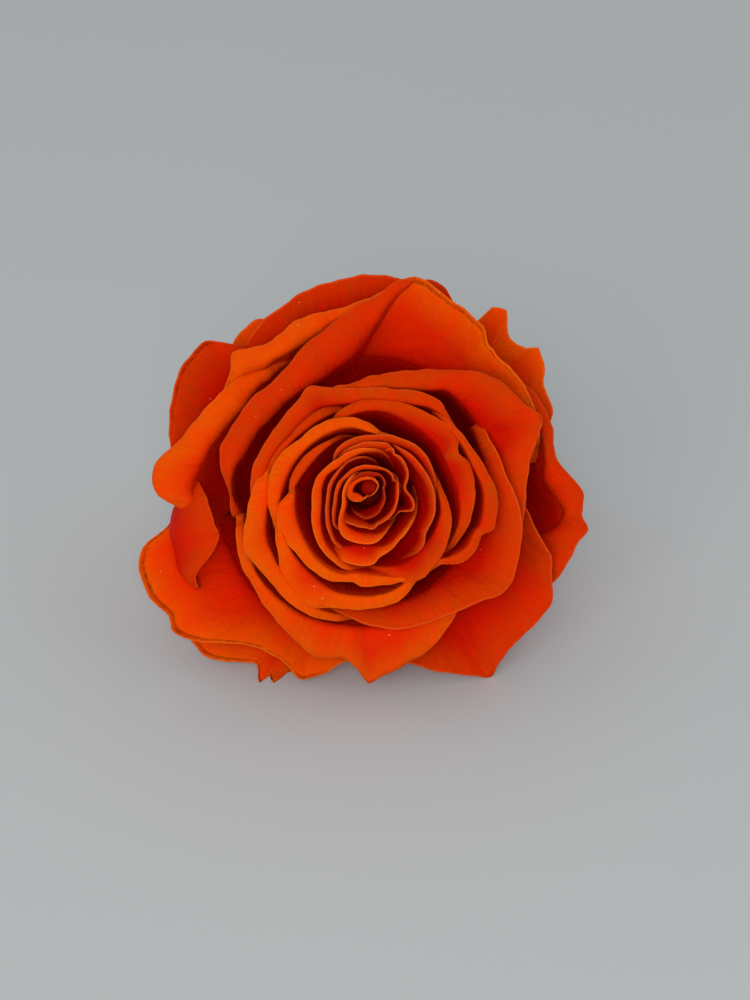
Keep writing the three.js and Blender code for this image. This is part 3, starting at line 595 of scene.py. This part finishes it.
def petal_skin(name, reach, lip, face, depth, margin):
    """Dyed rose petal: from the rim down, over the given reach in millimetres, its colour goes
    from lip to face to depth. The lighter lip is partly the petal's own paler rim and partly a
    painted highlight, the darker face is partly painted shade, and the saturated red depth is a
    painted glow of the red light that passes through and bounces between the petals in the gaps.
    A thin band along the free edge and sides is painted lighter for light shining through the
    thin rim, veins fan out to it, and papillae make the surface velvety. A few grains of dust
    catch in it."""
    skin = bpy.data.materials.new("preserved rose petal " + name)
    skin.use_nodes = True
    links = skin.node_tree.links
    shader = skin.node_tree.nodes["Principled BSDF"]
    where = node(skin, "Attribute", attribute_name="petal_mm").outputs["Vector"]
    in_space = node(skin, "TexCoord").outputs["Object"]
    apart = node(skin, "SeparateXYZ", {0: where})
    mottle = noise(skin, where, MOTTLES_PER_MM, Detail=3.0, Roughness=0.6)
    veins = noise(skin, where, VEINS_PER_MM, Detail=3.0, Roughness=0.65, Distortion=0.25)
    crinkle = noise(skin, where, CRINKLES_PER_MM, Detail=2.0, Roughness=0.5)
    papillae = noise(skin, in_space, 1000 / PAPILLA_SIZE, Detail=2.0)

    # Painted shading by the way down from the rim: lighter at the rim, darker on the face, then a
    # painted red glow deep in the gaps.
    shades = node(skin, "ValToRGB", {0: faded(skin, apart.outputs[1], 0.0, reach, 0.0, 1.0)})
    ramp = shades.color_ramp.elements
    ramp[0].color = linear(lip)
    ramp[1].color = linear(depth)
    ramp.new(0.06).color = linear(lip)
    ramp.new(0.25).color = linear(face)
    colour = mixed(skin, faded(skin, mottle, 0.35, 0.7, 0.0, MOTTLE_MOST),
                   shades.outputs[0], linear(depth))
    colour = mixed(skin, faded(skin, veins, 0.45, 0.75, 0.0, VEIN_MOST), colour, linear(depth))
    # Painted light: lighter along the free edge and the sides, for light shining through the thin
    # rim.
    colour = mixed(skin, faded(skin, apart.outputs[2], 0.0, EDGE_GLOW_WIDTH, EDGE_GLOW_MOST, 0.0),
                   colour, linear(margin))
    dust = faded(skin, speck_places(skin, in_space), 0.0, 1.0, 0.0, SPECK_MOST)
    colour = mixed(skin, dust, colour, linear(SPECK_COLOUR))
    links.new(colour, shader.inputs["Base Color"])

    bumps = relief(skin, crinkle, 0.7, CRINKLE_RELIEF)
    bumps = relief(skin, veins, 0.6, VEIN_RELIEF, bumps)
    bumps = relief(skin, papillae, 0.35, PAPILLA_RELIEF, bumps)
    links.new(bumps, shader.inputs["Normal"])
    links.new(faded(skin, papillae, 0.3, 0.7, 0.5, 0.68), shader.inputs["Roughness"])
    shader.inputs["Specular IOR Level"].default_value = 0.08
    shader.inputs["Specular Tint"].default_value = linear(LIT_TINT)
    shader.inputs["Subsurface Weight"].default_value = 0.35
    shader.inputs["Subsurface Radius"].default_value = (1.0, 0.25, 0.08)
    shader.inputs["Subsurface Scale"].default_value = 0.0004
    return skin


# Two copies of one petal colour: a lighter one with painted light and a darker one with painted
# shade.
outer_painted_lit = petal_skin("outer painted lit", 24.0, "#DF5302", "#D72F02", "#FA0401", "#F17118")
outer_painted_shade = petal_skin("outer painted shade", 24.0, "#C63602", "#BB1901", "#F20401", "#E75D1C")
for seed, (name, (root, rows)) in enumerate(OUTER_PETALS.items(), 100):
    petal(name, root, rows, OUTER, outer_painted_lit if name in OUTER_PAINTED_LIT else outer_painted_shade, seed)


# Open petals
# Three wide petals round the foot and the right of the flower, half opened: their necks stand
# clear of the cup inside them and their lips roll well over.
OPEN = dict(lean=-18, drop=(0.5, 0.45), fold=0.25, wave=0.22, wave_length=8.0, wave_reach=4.0,
            nick=0.08, thickness=0.34, step=0.6, tail=None)
# Petals that take the lighter copy of the petal colour, painted light; the rest take the darker
# copy, painted shade.
OPEN_PAINTED_LIT = {"point_foot"}
OPEN_PETALS = {
    "point_foot": ((4.7, 6), [
        [190, 16.8, 33.5, 17.6, 33.2], [200, 17.3, 37.0, 18.4, 36.6], [208, 17.8, 38.2, 19.1, 37.4],
        [218, 18.1, 38.8, 19.5, 37.8], [230, 18.4, 38.8, 20.3, 37.4], [240, 18.4, 38.6, 21.3, 36.4],
        [248, 18.2, 38.4, 22.5, 35.2], [254, 18.1, 38.2, 22.9, 34.6], [262, 17.9, 38.0, 22.4, 34.6],
        [267, 17.9, 38.0, 23.7, 33.2], [270.5, 17.9, 37.9, 25.7, 31.0],
        [274, 17.9, 37.8, 24.7, 32.0], [282, 17.9, 37.6, 23.7, 33.2], [290, 17.9, 37.4, 22.8, 34.2],
        [300, 17.8, 36.6, 21.1, 35.2], [308, 17.6, 35.4, 19.9, 35.0], [318, 17.4, 32.0, 18.8, 32.0],
    ]),
    "cowl_right": ((4.5, 7), [
        [-24, 17.0, 33.0, 19.6, 33.6], [-12, 17.0, 35.4, 21.1, 36.8], [0, 17.2, 36.6, 21.0, 38.2],
        [10, 17.3, 37.4, 21.7, 38.6], [18, 17.3, 38.0, 23.9, 38.0], [23, 17.3, 38.4, 25.2, 37.0],
        [30, 17.2, 39.2, 23.7, 38.1], [40, 17.2, 40.1, 22.9, 38.3], [50, 17.1, 40.8, 21.0, 38.9],
        [60, 15.6, 41.1, 18.5, 39.3], [70, 14.5, 41.3, 17.0, 39.7], [80, 13.9, 41.3, 15.9, 40.0],
        [92, 13.7, 41.2, 14.9, 40.2], [104, 13.9, 40.4, 14.4, 40.0], [116, 14.3, 37.8, 14.6, 37.5],
    ]),
    "open_foot": ((4.3, 8), [
        [246, 14.6, 34.0, 15.6, 34.5], [256, 14.8, 36.4, 16.3, 37.2], [270, 15.0, 37.4, 17.5, 38.6],
        [285, 15.2, 37.6, 18.7, 38.9], [300, 15.2, 37.3, 19.2, 38.8], [310, 15.0, 36.8, 20.1, 38.6],
        [318, 14.9, 36.4, 21.2, 38.3], [322, 14.9, 36.2, 22.2, 38.0], [327, 14.9, 36.2, 22.6, 37.8],
        [334, 15.2, 36.4, 22.0, 38.2], [345, 15.6, 36.9, 21.2, 38.6], [355, 15.9, 37.4, 20.2, 38.9],
        [365, 16.1, 37.8, 18.7, 39.2], [380, 16.2, 37.8, 17.8, 38.8], [392, 16.2, 36.4, 17.4, 37.0],
    ]),
}
# Two copies of one petal colour: a lighter one with painted light and a darker one with painted
# shade.
open_painted_lit = petal_skin("open painted lit", 20.0, "#DD5002", "#D63002", "#FA0401", "#F17118")
open_painted_shade = petal_skin("open painted shade", 20.0, "#C83C02", "#B51501", "#F20401", "#E75D1C")
for seed, (name, (root, rows)) in enumerate(OPEN_PETALS.items(), 200):
    petal(name, root, rows, OPEN, open_painted_lit if name in OPEN_PAINTED_LIT else open_painted_shade, seed)


# Shell petals
# Four upright petals that wrap the cup, overlapping like the turns of a scroll, each with a
# narrow lip rolled outwards.
SHELL = dict(lean=-11, drop=(0.35, 0.35), fold=0.25, wave=0.14, wave_length=7.0, wave_reach=2.5,
             nick=0.06, thickness=0.3, step=0.5, tail=(16, 6))
# Petals that take the lighter copy of the petal colour, painted light; the rest take the darker
# copy, painted shade.
SHELL_PAINTED_LIT = {"lip_left", "lip_foot"}
SHELL_PETALS = {
    "lip_left": ((4.1, 9), [
        [159, 13.2, 37.6, 13.6, 37.2], [168, 13.2, 40.2, 13.8, 39.8], [175, 13.1, 41.4, 14.7, 40.6],
        [183, 13.1, 41.7, 15.4, 40.3], [192, 13.6, 41.7, 16.3, 40.0], [200, 14.3, 41.5, 17.3, 39.5],
        [206, 14.7, 41.3, 17.9, 39.0], [214, 15.0, 41.1, 17.45, 39.3],
        [224, 15.4, 40.8, 17.4, 39.4], [235, 16.0, 40.4, 17.8, 39.3], [245, 16.6, 39.4, 18.0, 38.5],
        [256, 16.8, 36.8, 17.5, 36.3],
    ]),
    "lip_foot": ((4.0, 9), [
        [184, 12.4, 36.6, 12.7, 36.4], [196, 12.2, 39.6, 12.7, 39.3], [206, 12.4, 41.1, 13.4, 40.5],
        [215, 12.6, 41.5, 14.2, 40.4], [222, 12.7, 41.7, 15.5, 40.0],
        [230, 12.9, 41.7, 16.95, 39.3], [236, 13.1, 41.6, 17.4, 39.0],
        [245, 13.5, 41.4, 16.8, 39.3], [255, 13.8, 41.2, 15.85, 39.8],
        [270, 13.8, 41.1, 15.35, 40.1], [283, 13.6, 41.0, 15.1, 40.0],
        [291, 13.2, 40.6, 14.4, 39.9], [297, 12.9, 39.7, 13.5, 39.2], [307, 12.8, 37.4, 13.2, 37.0],
    ]),
    "shell_right": ((3.9, 10), [
        [305, 12.9, 37.6, 13.3, 37.3], [315, 12.9, 40.0, 13.5, 39.6], [322, 14.0, 40.8, 15.2, 40.1],
        [332, 15.0, 41.1, 16.3, 40.3], [339, 15.1, 41.1, 16.1, 40.4],
        [344, 15.6, 41.1, 17.35, 40.0], [360, 15.4, 41.3, 17.05, 40.3],
        [370, 14.7, 41.4, 15.95, 40.6], [380, 14.2, 41.4, 15.15, 40.8],
        [392, 13.8, 41.3, 14.65, 40.8], [402, 13.7, 40.6, 14.3, 40.2],
        [416, 13.8, 38.0, 14.2, 37.7],
    ]),
    "shell_left": ((3.8, 10), [
        [38, 14.1, 38.3, 14.6, 38.0], [45, 14.2, 40.6, 14.9, 40.1], [52, 14.0, 41.3, 15.35, 40.5],
        [62, 13.2, 41.6, 14.85, 40.7], [76, 12.5, 41.8, 13.95, 41.0], [90, 12.3, 41.8, 13.7, 41.0],
        [102, 12.0, 41.7, 13.95, 40.7], [112, 12.5, 41.6, 14.85, 40.2],
        [119.5, 12.8, 41.5, 15.85, 39.8], [127, 12.8, 41.4, 15.1, 40.2],
        [140, 12.7, 41.4, 14.7, 40.3], [155, 13.2, 41.3, 14.95, 40.3],
        [170, 13.9, 40.9, 15.3, 40.0], [182, 14.4, 39.8, 15.35, 39.1],
        [193, 14.8, 37.5, 15.4, 37.0],
    ]),
}
# Two copies of one petal colour: a lighter one with painted light and a darker one with painted
# shade.
shell_painted_lit = petal_skin("shell painted lit", 15.0, "#E35902", "#D63202", "#FA0401", "#F17218")
shell_painted_shade = petal_skin("shell painted shade", 12.0, "#C84002", "#B21701", "#F20401", "#E75D1C")
for seed, (name, (root, rows)) in enumerate(SHELL_PETALS.items(), 300):
    petal(name, root, rows, SHELL, shell_painted_lit if name in SHELL_PAINTED_LIT else shell_painted_shade, seed)


# Cup petals
# Six petals of the cup, standing nearly straight up round the bud with deep narrow gaps between
# them and short lips turned out.
CUP = dict(lean=-8, drop=(0.4, 0.4), fold=0.25, wave=0.10, wave_length=5.0, wave_reach=1.5,
           nick=0.06, thickness=0.28, step=0.5, tail=(22, 7))
# Petals that take the lighter copy of the petal colour, painted light; the rest take the darker
# copy, painted shade.
CUP_PAINTED_LIT = {"cup_foot", "cup_wide"}
CUP_PETALS = {
    "shell_back": ((3.6, 11), [
        [106, 11.4, 37.5, 11.9, 37.1], [120, 11.4, 39.9, 12.5, 39.2], [133, 11.5, 40.6, 12.8, 39.8],
        [146, 11.9, 40.8, 13.0, 40.0], [159, 12.6, 40.6, 13.6, 39.9], [172, 13.2, 40.0, 14.1, 39.4],
        [186, 13.6, 38.0, 14.2, 37.5],
    ]),
    "cup_high": ((3.5, 11), [
        [328, 12.9, 38.0, 13.5, 37.6], [344, 12.7, 40.8, 14.1, 40.0], [360, 12.0, 41.5, 14.2, 40.4],
        [376, 11.3, 41.8, 14.05, 40.2], [383, 11.1, 41.8, 13.05, 40.7],
        [392, 11.2, 41.9, 14.15, 40.2], [405, 10.9, 41.9, 13.4, 40.6],
        [420, 10.7, 41.9, 12.85, 40.8], [440, 10.9, 41.7, 12.4, 40.8],
        [455, 10.6, 41.3, 12.05, 40.4], [467, 10.2, 40.4, 11.4, 39.7], [479, 9.9, 38.6, 10.5, 38.1],
    ]),
    "cup_right": ((3.4, 12), [
        [279, 10.0, 38.8, 10.9, 38.3], [289, 10.4, 40.7, 12.4, 39.8], [297, 10.7, 41.2, 13.4, 39.9],
        [304, 10.7, 41.3, 13.5, 39.9], [312, 10.6, 41.4, 13.0, 40.2],
        [322, 10.4, 41.4, 12.85, 40.2], [332, 10.3, 41.3, 12.3, 40.3],
        [342, 10.2, 41.1, 11.7, 40.4], [352, 9.8, 40.6, 10.8, 40.1], [362, 9.3, 39.6, 9.9, 39.2],
        [372, 9.1, 37.5, 9.5, 37.1],
    ]),
    "cup_foot": ((3.3, 12), [
        [167, 9.8, 36.0, 10.2, 35.6], [178, 9.6, 40.2, 10.0, 39.9], [184, 9.6, 41.4, 10.9, 40.7],
        [190, 9.75, 41.9, 12.1, 40.5], [205, 10.05, 42.0, 12.6, 40.5],
        [220, 10.55, 42.0, 12.25, 41.0], [235, 11.1, 42.0, 12.6, 41.1],
        [248, 11.4, 41.9, 12.55, 41.2], [256, 11.2, 41.7, 12.1, 41.2],
        [261, 10.9, 41.5, 11.9, 41.0], [266, 10.8, 41.4, 12.4, 40.6],
        [277, 11.1, 41.2, 12.45, 40.4], [285, 11.6, 41.0, 12.55, 40.3],
        [291, 12.15, 40.6, 12.5, 40.2], [297, 12.45, 40.0, 12.6, 39.8],
        [306, 12.5, 38.0, 12.6, 37.7],
    ]),
    "cup_wide": ((3.2, 12), [
        [60, 7.8, 36.0, 8.2, 35.6], [76, 7.8, 40.0, 8.15, 39.8], [88, 8.0, 41.4, 9.0, 40.8],
        [102, 8.8, 41.8, 10.0, 41.0], [120, 9.25, 42.0, 10.8, 41.0], [140, 9.8, 42.0, 11.15, 41.2],
        [155, 10.3, 42.0, 12.3, 40.8], [170, 10.85, 42.0, 13.05, 40.6],
        [182, 11.5, 41.9, 13.15, 40.8], [190, 12.0, 41.2, 13.05, 40.4],
        [200, 12.4, 39.4, 13.0, 38.8], [212, 12.7, 37.0, 13.0, 36.5],
    ]),
    "cup_left": ((3.1, 13), [
        [114, 7.9, 37.0, 8.2, 36.8], [127, 7.9, 40.0, 8.5, 39.7], [136, 8.0, 40.7, 8.8, 40.3],
        [147, 8.2, 41.0, 9.3, 40.3], [157, 8.5, 41.1, 9.75, 40.3], [167, 9.0, 41.0, 10.1, 40.3],
        [174, 9.5, 40.6, 10.2, 40.1], [181, 9.9, 39.4, 10.3, 39.0], [190, 10.2, 37.4, 10.5, 37.1],
    ]),
}
# Two copies of one petal colour: a lighter one with painted light and a darker one with painted
# shade.
cup_painted_lit = petal_skin("cup painted lit", 13.0, "#E35902", "#D62F02", "#FA0401", "#F17218")
cup_painted_shade = petal_skin("cup painted shade", 9.0, "#CE4402", "#B01501", "#F20401", "#E7611C")
for seed, (name, (root, rows)) in enumerate(CUP_PETALS.items(), 400):
    petal(name, root, rows, CUP, cup_painted_lit if name in CUP_PAINTED_LIT else cup_painted_shade, seed)


# Bud
# The tight bud in the middle: narrow petals wound round each other down to the scroll at the
# heart. It leans a little, so that the rims roll over on one side and stand open on the other.
BUD = dict(lean=-1, drop=(0.3, 0.4), fold=0.3, wave=0.06, wave_length=3.0, wave_reach=0.9,
           nick=0.04, thickness=0.22, step=0.3, tail=(30, 6))
HEART = dict(BUD, step=0.2, wave=0.03, wave_length=2.0, tail=None)
ROLL_AZIMUTH = 150.0
INNER_ROLL_AZIMUTH = 80.0
ROLL_OVER = 0.45
OPEN_OUT = 0.9
# Bud petals that take the lighter copy of the petal colour, painted light; the others take darker
# copies, painted shade.
BUD_PAINTED_LIT = {"bud_2", "ring_left", "ring_foot"}
BUD_PETALS = {
    "ring_right": ((3.0, 13), [
        [300, 9.8, 10.5, 37.4], [316, 9.1, 10.25, 40.0], [326, 8.4, 9.4, 40.6],
        [340, 8.2, 9.35, 40.8], [355, 7.7, 9.0, 40.8], [370, 7.3, 8.5, 40.8],
        [380, 7.15, 8.1, 40.8], [390, 6.95, 7.85, 40.8], [405, 6.85, 7.5, 40.7],
        [415, 6.95, 7.3, 40.3], [424, 7.0, 7.15, 38.8],
    ]),
    "ring_foot": ((2.9, 14), [
        [238, 8.2, 9.3, 37.4], [250, 7.6, 9.6, 39.2], [262, 7.1, 9.8, 39.6], [275, 7.1, 9.5, 39.8],
        [281, 7.3, 8.75, 40.0], [290, 7.5, 8.35, 40.1], [300, 7.3, 7.85, 40.1],
        [306, 7.1, 7.55, 40.1], [314, 6.95, 7.4, 40.1], [326, 6.85, 7.25, 39.6],
        [338, 6.9, 7.1, 37.8],
    ]),
    "ring_top": ((2.8, 14), [
        [-10, 8.7, 9.2, 36.6], [8, 8.5, 9.2, 39.4], [25, 8.3, 9.2, 40.2], [38, 8.1, 9.1, 40.5],
        [48, 7.8, 8.8, 40.6], [56, 7.5, 8.4, 40.7], [66, 7.2, 8.15, 40.7], [76, 7.0, 7.85, 40.7],
        [86, 6.8, 7.5, 40.7], [100, 6.65, 7.4, 40.6], [112, 6.5, 7.2, 40.6], [122, 6.4, 7.0, 40.4],
        [130, 6.2, 6.6, 40.0], [136, 6.0, 6.2, 38.8],
    ]),
    "ring_left": ((2.7, 15), [
        [70, 5.6, 5.85, 38.6], [82, 5.4, 5.85, 40.1], [96, 5.3, 5.8, 40.6], [110, 5.1, 5.8, 40.7],
        [125, 5.0, 5.8, 40.8], [138, 5.05, 5.95, 40.8], [150, 5.5, 6.35, 40.8],
        [160, 5.85, 6.75, 40.8], [175, 6.0, 7.1, 40.7], [190, 6.15, 7.35, 40.7],
        [200, 6.5, 7.75, 40.6], [210, 7.15, 8.35, 40.6], [222, 8.0, 9.15, 40.4],
        [234, 8.9, 9.8, 40.0], [245, 9.4, 10.2, 39.9], [254, 9.8, 10.6, 39.4],
        [264, 10.0, 10.5, 38.0],
    ]),
    "ring_inner": ((2.5, 15.5), [
        [58, 6.2, 6.4, 39.0], [63, 6.25, 6.85, 40.2], [68, 6.2, 7.0, 40.5], [75, 6.05, 6.85, 40.6],
        [85, 5.95, 6.65, 40.6], [98, 5.85, 6.5, 40.5], [112, 5.8, 6.3, 40.2],
        [126, 5.8, 6.15, 39.0],
    ]),
    "bud_5": ((2.4, 16), [
        [322, 4.9, 5.0, 38.0], [329, 4.9, 5.1, 39.6], [333, 5.3, 5.7, 40.2], [337, 6.0, 6.4, 40.5],
        [342, 6.25, 6.55, 40.6], [348, 6.0, 6.3, 40.6], [354, 5.6, 5.9, 40.6],
        [360, 5.1, 5.4, 40.5], [366, 4.85, 5.1, 40.5], [372, 5.0, 5.3, 40.6], [380, 5.5, 5.8, 40.7],
        [390, 5.85, 6.15, 40.8], [400, 5.95, 6.35, 40.9], [408, 6.0, 6.45, 40.9],
        [414, 6.05, 6.3, 40.9], [418, 6.2, 6.7, 40.8], [421, 6.2, 6.75, 40.6],
        [424, 6.1, 6.3, 40.2], [432, 5.9, 6.1, 38.5],
    ]),
    "bud_4": ((2.2, 17), [
        [92, 4.5, 4.7, 38.4], [105, 4.6, 4.82, 39.4], [120, 4.6, 4.85, 39.7],
        [136, 4.5, 4.75, 40.0], [150, 4.5, 4.85, 40.3], [172, 4.75, 5.15, 40.5],
        [186, 4.9, 5.35, 40.5], [200, 5.35, 5.85, 40.4], [210, 5.8, 6.3, 40.4],
        [220, 6.4, 6.95, 40.3], [230, 7.1, 7.6, 40.0], [238, 7.6, 8.1, 39.5], [250, 7.9, 8.3, 37.8],
    ]),
    "bud_3": ((2.0, 18), [
        [10, 4.5, 4.6, 38.0], [18, 4.15, 4.35, 39.6], [25, 3.75, 3.95, 40.2], [34, 3.9, 4.12, 40.4],
        [44, 3.85, 4.08, 40.4], [54, 3.6, 3.85, 40.4], [65, 3.3, 3.68, 40.4], [78, 3.1, 3.6, 40.4],
        [105, 3.08, 3.55, 40.4], [135, 3.12, 3.6, 40.4], [160, 3.5, 3.95, 40.4],
        [182, 3.8, 4.25, 40.3], [200, 4.25, 4.75, 40.2], [214, 5.0, 5.55, 40.0],
        [228, 5.9, 6.3, 39.0],
    ]),
    "bud_2": ((1.7, 19), [
        [112, 2.75, 2.85, 38.8], [128, 2.7, 2.95, 40.0], [145, 2.65, 2.95, 40.4],
        [160, 2.65, 3.05, 40.6], [175, 2.8, 3.15, 40.7], [190, 2.95, 3.3, 40.7],
        [205, 3.1, 3.65, 40.6], [215, 3.55, 4.3, 40.5], [224, 4.3, 5.2, 40.3],
        [231, 4.9, 5.9, 40.1], [238, 5.2, 6.5, 39.9], [246, 5.3, 6.8, 39.8], [262, 5.4, 6.85, 39.8],
        [275, 5.5, 6.85, 39.9], [283, 5.7, 6.6, 39.9], [292, 5.7, 6.1, 39.3], [302, 5.4, 5.6, 38.0],
    ]),
    "bud_1": ((1.5, 20), [
        [222, 3.9, 4.3, 38.8], [232, 3.8, 4.9, 39.3], [245, 3.4, 4.75, 39.5],
        [255, 3.3, 4.72, 39.6], [262, 3.5, 4.7, 39.7], [269, 3.9, 4.75, 39.8],
        [275, 4.2, 4.95, 39.9], [281, 4.35, 4.92, 40.0], [287, 4.2, 4.6, 40.0],
        [300, 4.05, 4.5, 40.0], [320, 4.05, 4.45, 40.1], [340, 3.95, 4.3, 40.2],
        [358, 3.85, 4.2, 40.2], [372, 3.95, 4.3, 40.1], [385, 4.2, 4.45, 39.0],
    ]),
    "inner": ((1.2, 21), [
        [236, 3.0, 3.2, 38.8], [250, 2.9, 3.3, 39.4], [258, 2.7, 3.45, 39.6], [266, 2.6, 3.6, 39.7],
        [280, 2.35, 3.4, 39.8], [300, 2.25, 3.15, 39.9], [320, 2.25, 2.85, 40.0],
        [340, 2.25, 2.6, 40.1], [360, 2.15, 2.35, 40.2], [375, 2.2, 2.38, 40.3],
        [382, 2.5, 2.68, 40.4], [395, 2.7, 2.87, 40.5], [412, 2.75, 2.92, 40.5],
        [430, 2.15, 2.78, 40.5], [450, 2.1, 2.65, 40.4], [480, 2.05, 2.6, 40.2],
        [510, 2.1, 2.7, 40.0], [535, 2.5, 2.8, 39.2],
    ]),
}
HEART_PETALS = {
    "heart": ((0.7, 24), (-0.25, 0.65), [
        [-84, 1.2, 38.6, 1.28, 38.6], [-49, 1.3, 38.9, 1.42, 38.9], [-10, 1.55, 39.1, 1.68, 39.1],
        [6, 1.7, 39.3, 1.82, 39.3], [24, 1.58, 39.6, 1.74, 39.5], [46, 1.4, 40.0, 1.62, 39.85],
        [73, 1.12, 40.4, 1.5, 40.2], [100, 1.0, 40.4, 1.55, 40.1], [125, 1.02, 40.4, 1.75, 40.0],
        [150, 1.2, 40.4, 2.0, 39.9], [175, 1.5, 40.4, 2.25, 39.9], [195, 1.76, 40.3, 2.5, 39.7],
        [206, 1.78, 40.2, 2.62, 39.5], [214, 1.5, 40.1, 2.6, 39.4], [223, 1.3, 40.0, 2.5, 39.2],
        [242, 1.28, 39.9, 2.2, 39.2], [256, 1.4, 39.7, 1.9, 39.2], [264, 1.42, 39.5, 1.6, 39.3],
        [276, 1.25, 39.2, 1.35, 39.1], [292, 1.0, 38.6, 1.05, 38.5],
    ]),
    "tongue": ((0.4, 26), (0.4, 0.6), [
        [60, 0.98, 39.2, 0.02, 39.2], [100, 1.0, 39.5, 0.02, 39.25], [140, 1.05, 39.8, 0.02, 39.35],
        [190, 1.02, 39.85, 0.02, 39.35], [240, 1.0, 39.5, 0.02, 39.25],
        [300, 1.0, 39.1, 0.02, 39.15], [360, 0.96, 39.0, 0.02, 39.1],
        [415, 0.97, 39.15, 0.02, 39.15],
    ]),
}


def leaned(rows, roll_azimuth):
    """Rows of azimuth, crest radius, rim radius and rim height with the crest's height put in:
    above the rim by ROLL_OVER of the lip's width towards roll_azimuth, and below it by OPEN_OUT
    of that width on the other side."""
    rows = np.array(rows, float)
    roll = np.cos(np.radians(rows[:, 0] - roll_azimuth))
    rise = (rows[:, 2] - rows[:, 1]) * roll * np.where(roll > 0, ROLL_OVER, OPEN_OUT)
    return np.column_stack([rows[:, :2], rows[:, 3] + rise, rows[:, 2:]])


# Copies of one petal colour: a lighter one with painted light, a darker one with painted shade, and
# darkest ones with the painted deep shade inside the bud and the heart.
bud_painted_lit = petal_skin("bud painted lit", 7.0, "#DD5102", "#CA2302", "#FA0401", "#F17624")
bud_painted_shade = petal_skin("bud painted shade", 5.0, "#C13A02", "#9B1001", "#F00401", "#E56728")
bud_painted_dark_shade = petal_skin("bud painted dark shade", 3.0, "#9B2102", "#790401", "#C00201", "#B53E1C")
heart_painted_dark_shade = petal_skin("heart painted dark shade", 3.0, "#981602", "#7C0401", "#A00201", "#981602")
for seed, (name, (root, rows)) in enumerate(BUD_PETALS.items(), 500):
    roll_azimuth = INNER_ROLL_AZIMUTH if name in ("bud_1", "inner") else ROLL_AZIMUTH
    skin = bud_painted_lit if name in BUD_PAINTED_LIT else bud_painted_dark_shade if name == "inner" else bud_painted_shade
    petal(name, root, leaned(rows, roll_azimuth), BUD, skin, seed)
# The heart takes the lighter bud copy; the tongue deep inside it takes the darkest copy, painted
# shade of the hollow.
for seed, (name, (root, centre, rows)) in enumerate(HEART_PETALS.items(), 600):
    petal(name, root, rows, HEART, bud_painted_lit if name == "heart" else heart_painted_dark_shade, seed, centre)


# Floor
# A plain pale sheet under the flower. It is matt, with no more than the faint tooth of paper.
FLOOR_HALF = 3.0
FLOOR_GREY = "#C4C6C5"
FLOOR_TOOTH = 0.8
FLOOR_RELIEF = 0.1

floor_corners = [(-1, -1), (1, -1), (1, 1), (-1, 1)]
floor_mesh = bpy.data.meshes.new("floor")
floor_mesh.from_pydata([(x * FLOOR_HALF, y * FLOOR_HALF, 0) for x, y in floor_corners],
                       [], [(0, 1, 2, 3)])
floor_paper = bpy.data.materials.new("matt paper")
floor_paper.use_nodes = True
paper_shader = floor_paper.node_tree.nodes["Principled BSDF"]
paper_place = node(floor_paper, "TexCoord").outputs["Object"]
paper_tooth = noise(floor_paper, paper_place, 1000 / FLOOR_TOOTH, Detail=2.0)
floor_paper.node_tree.links.new(
    relief(floor_paper, paper_tooth, 0.1, FLOOR_RELIEF), paper_shader.inputs["Normal"])
paper_shader.inputs["Base Color"].default_value = linear(FLOOR_GREY)
paper_shader.inputs["Roughness"].default_value = 0.9
floor_mesh.materials.append(floor_paper)
floor = bpy.data.objects.new("floor", floor_mesh)
bpy.context.scene.collection.objects.link(floor)


# Light
# Soft light of an overcast window: a broad lamp in front and a little to the left, a smaller one
# beside the camera that reaches in between the petals, and an even pale sky. A lamp is its place,
# its width and its power in watts.
SKY = "#E6EAEE"
SKY_STRENGTH = 0.66
LAMPS = {"window": ((-0.25, -0.85, 0.4), 0.6, 3.4), "fill": ((0.0, -0.85, 0.5), 0.2, 2.0)}
LIT_HEIGHT = 20.0

world = bpy.data.worlds.new("sky")
world.use_nodes = True
sky = world.node_tree.nodes["Background"]
sky.inputs["Color"].default_value = linear(SKY)
sky.inputs["Strength"].default_value = SKY_STRENGTH
bpy.context.scene.world = world


def looking(place, target):
    """A matrix that stands at place and looks along -Z at target, upright."""
    back = (np.array(place) - target) / math.dist(place, target)
    right = np.cross((0, 0, 1), back)
    right = right / np.linalg.norm(right)
    up = np.cross(back, right)
    return Matrix([[*row, shift] for row, shift in zip(np.stack([right, up, back], 1), place)]
                  + [[0, 0, 0, 1]])


middle = laid(np.array([[0, 0, LIT_HEIGHT]]))[0]
for name, (place, size, watts) in LAMPS.items():
    lamp = bpy.data.lights.new(name, "AREA")
    lamp.size = size
    lamp.energy = watts
    holder = bpy.data.objects.new(name, lamp)
    holder.matrix_world = looking(place, middle)
    bpy.context.scene.collection.objects.link(holder)


# Camera
# It looks straight at the face of the flower. At its distance a millimetre at the height of the
# rim is PIXELS_PER_MM pixels of the photograph, and the heart falls on HEART_PIXEL.
IMAGE_SIZE = (750, 1000)
PIXELS_PER_MM = 7.5
HEART_PIXEL = (367, 492)
HEART_HEIGHT = 34.0
CAMERA_DISTANCE = 0.45
CAMERA_ELEVATION = 30.0

camera = bpy.data.cameras.new("camera")
tilt = math.radians(CAMERA_ELEVATION)
heart = laid(np.array([[0, 0, HEART_HEIGHT]]))[0]
eye = heart + CAMERA_DISTANCE * np.array([0, -math.cos(tilt), math.sin(tilt)])
long_side = max(IMAGE_SIZE)
camera.lens = camera.sensor_width * CAMERA_DISTANCE * 1000 * PIXELS_PER_MM / long_side
camera.shift_x = (IMAGE_SIZE[0] / 2 - HEART_PIXEL[0]) / long_side
camera.shift_y = (HEART_PIXEL[1] - IMAGE_SIZE[1] / 2) / long_side
camera_object = bpy.data.objects.new("camera", camera)
camera_object.matrix_world = looking(eye, heart)
bpy.context.scene.collection.objects.link(camera_object)
bpy.context.scene.camera = camera_object
bpy.context.scene.view_settings.view_transform = "Standard"
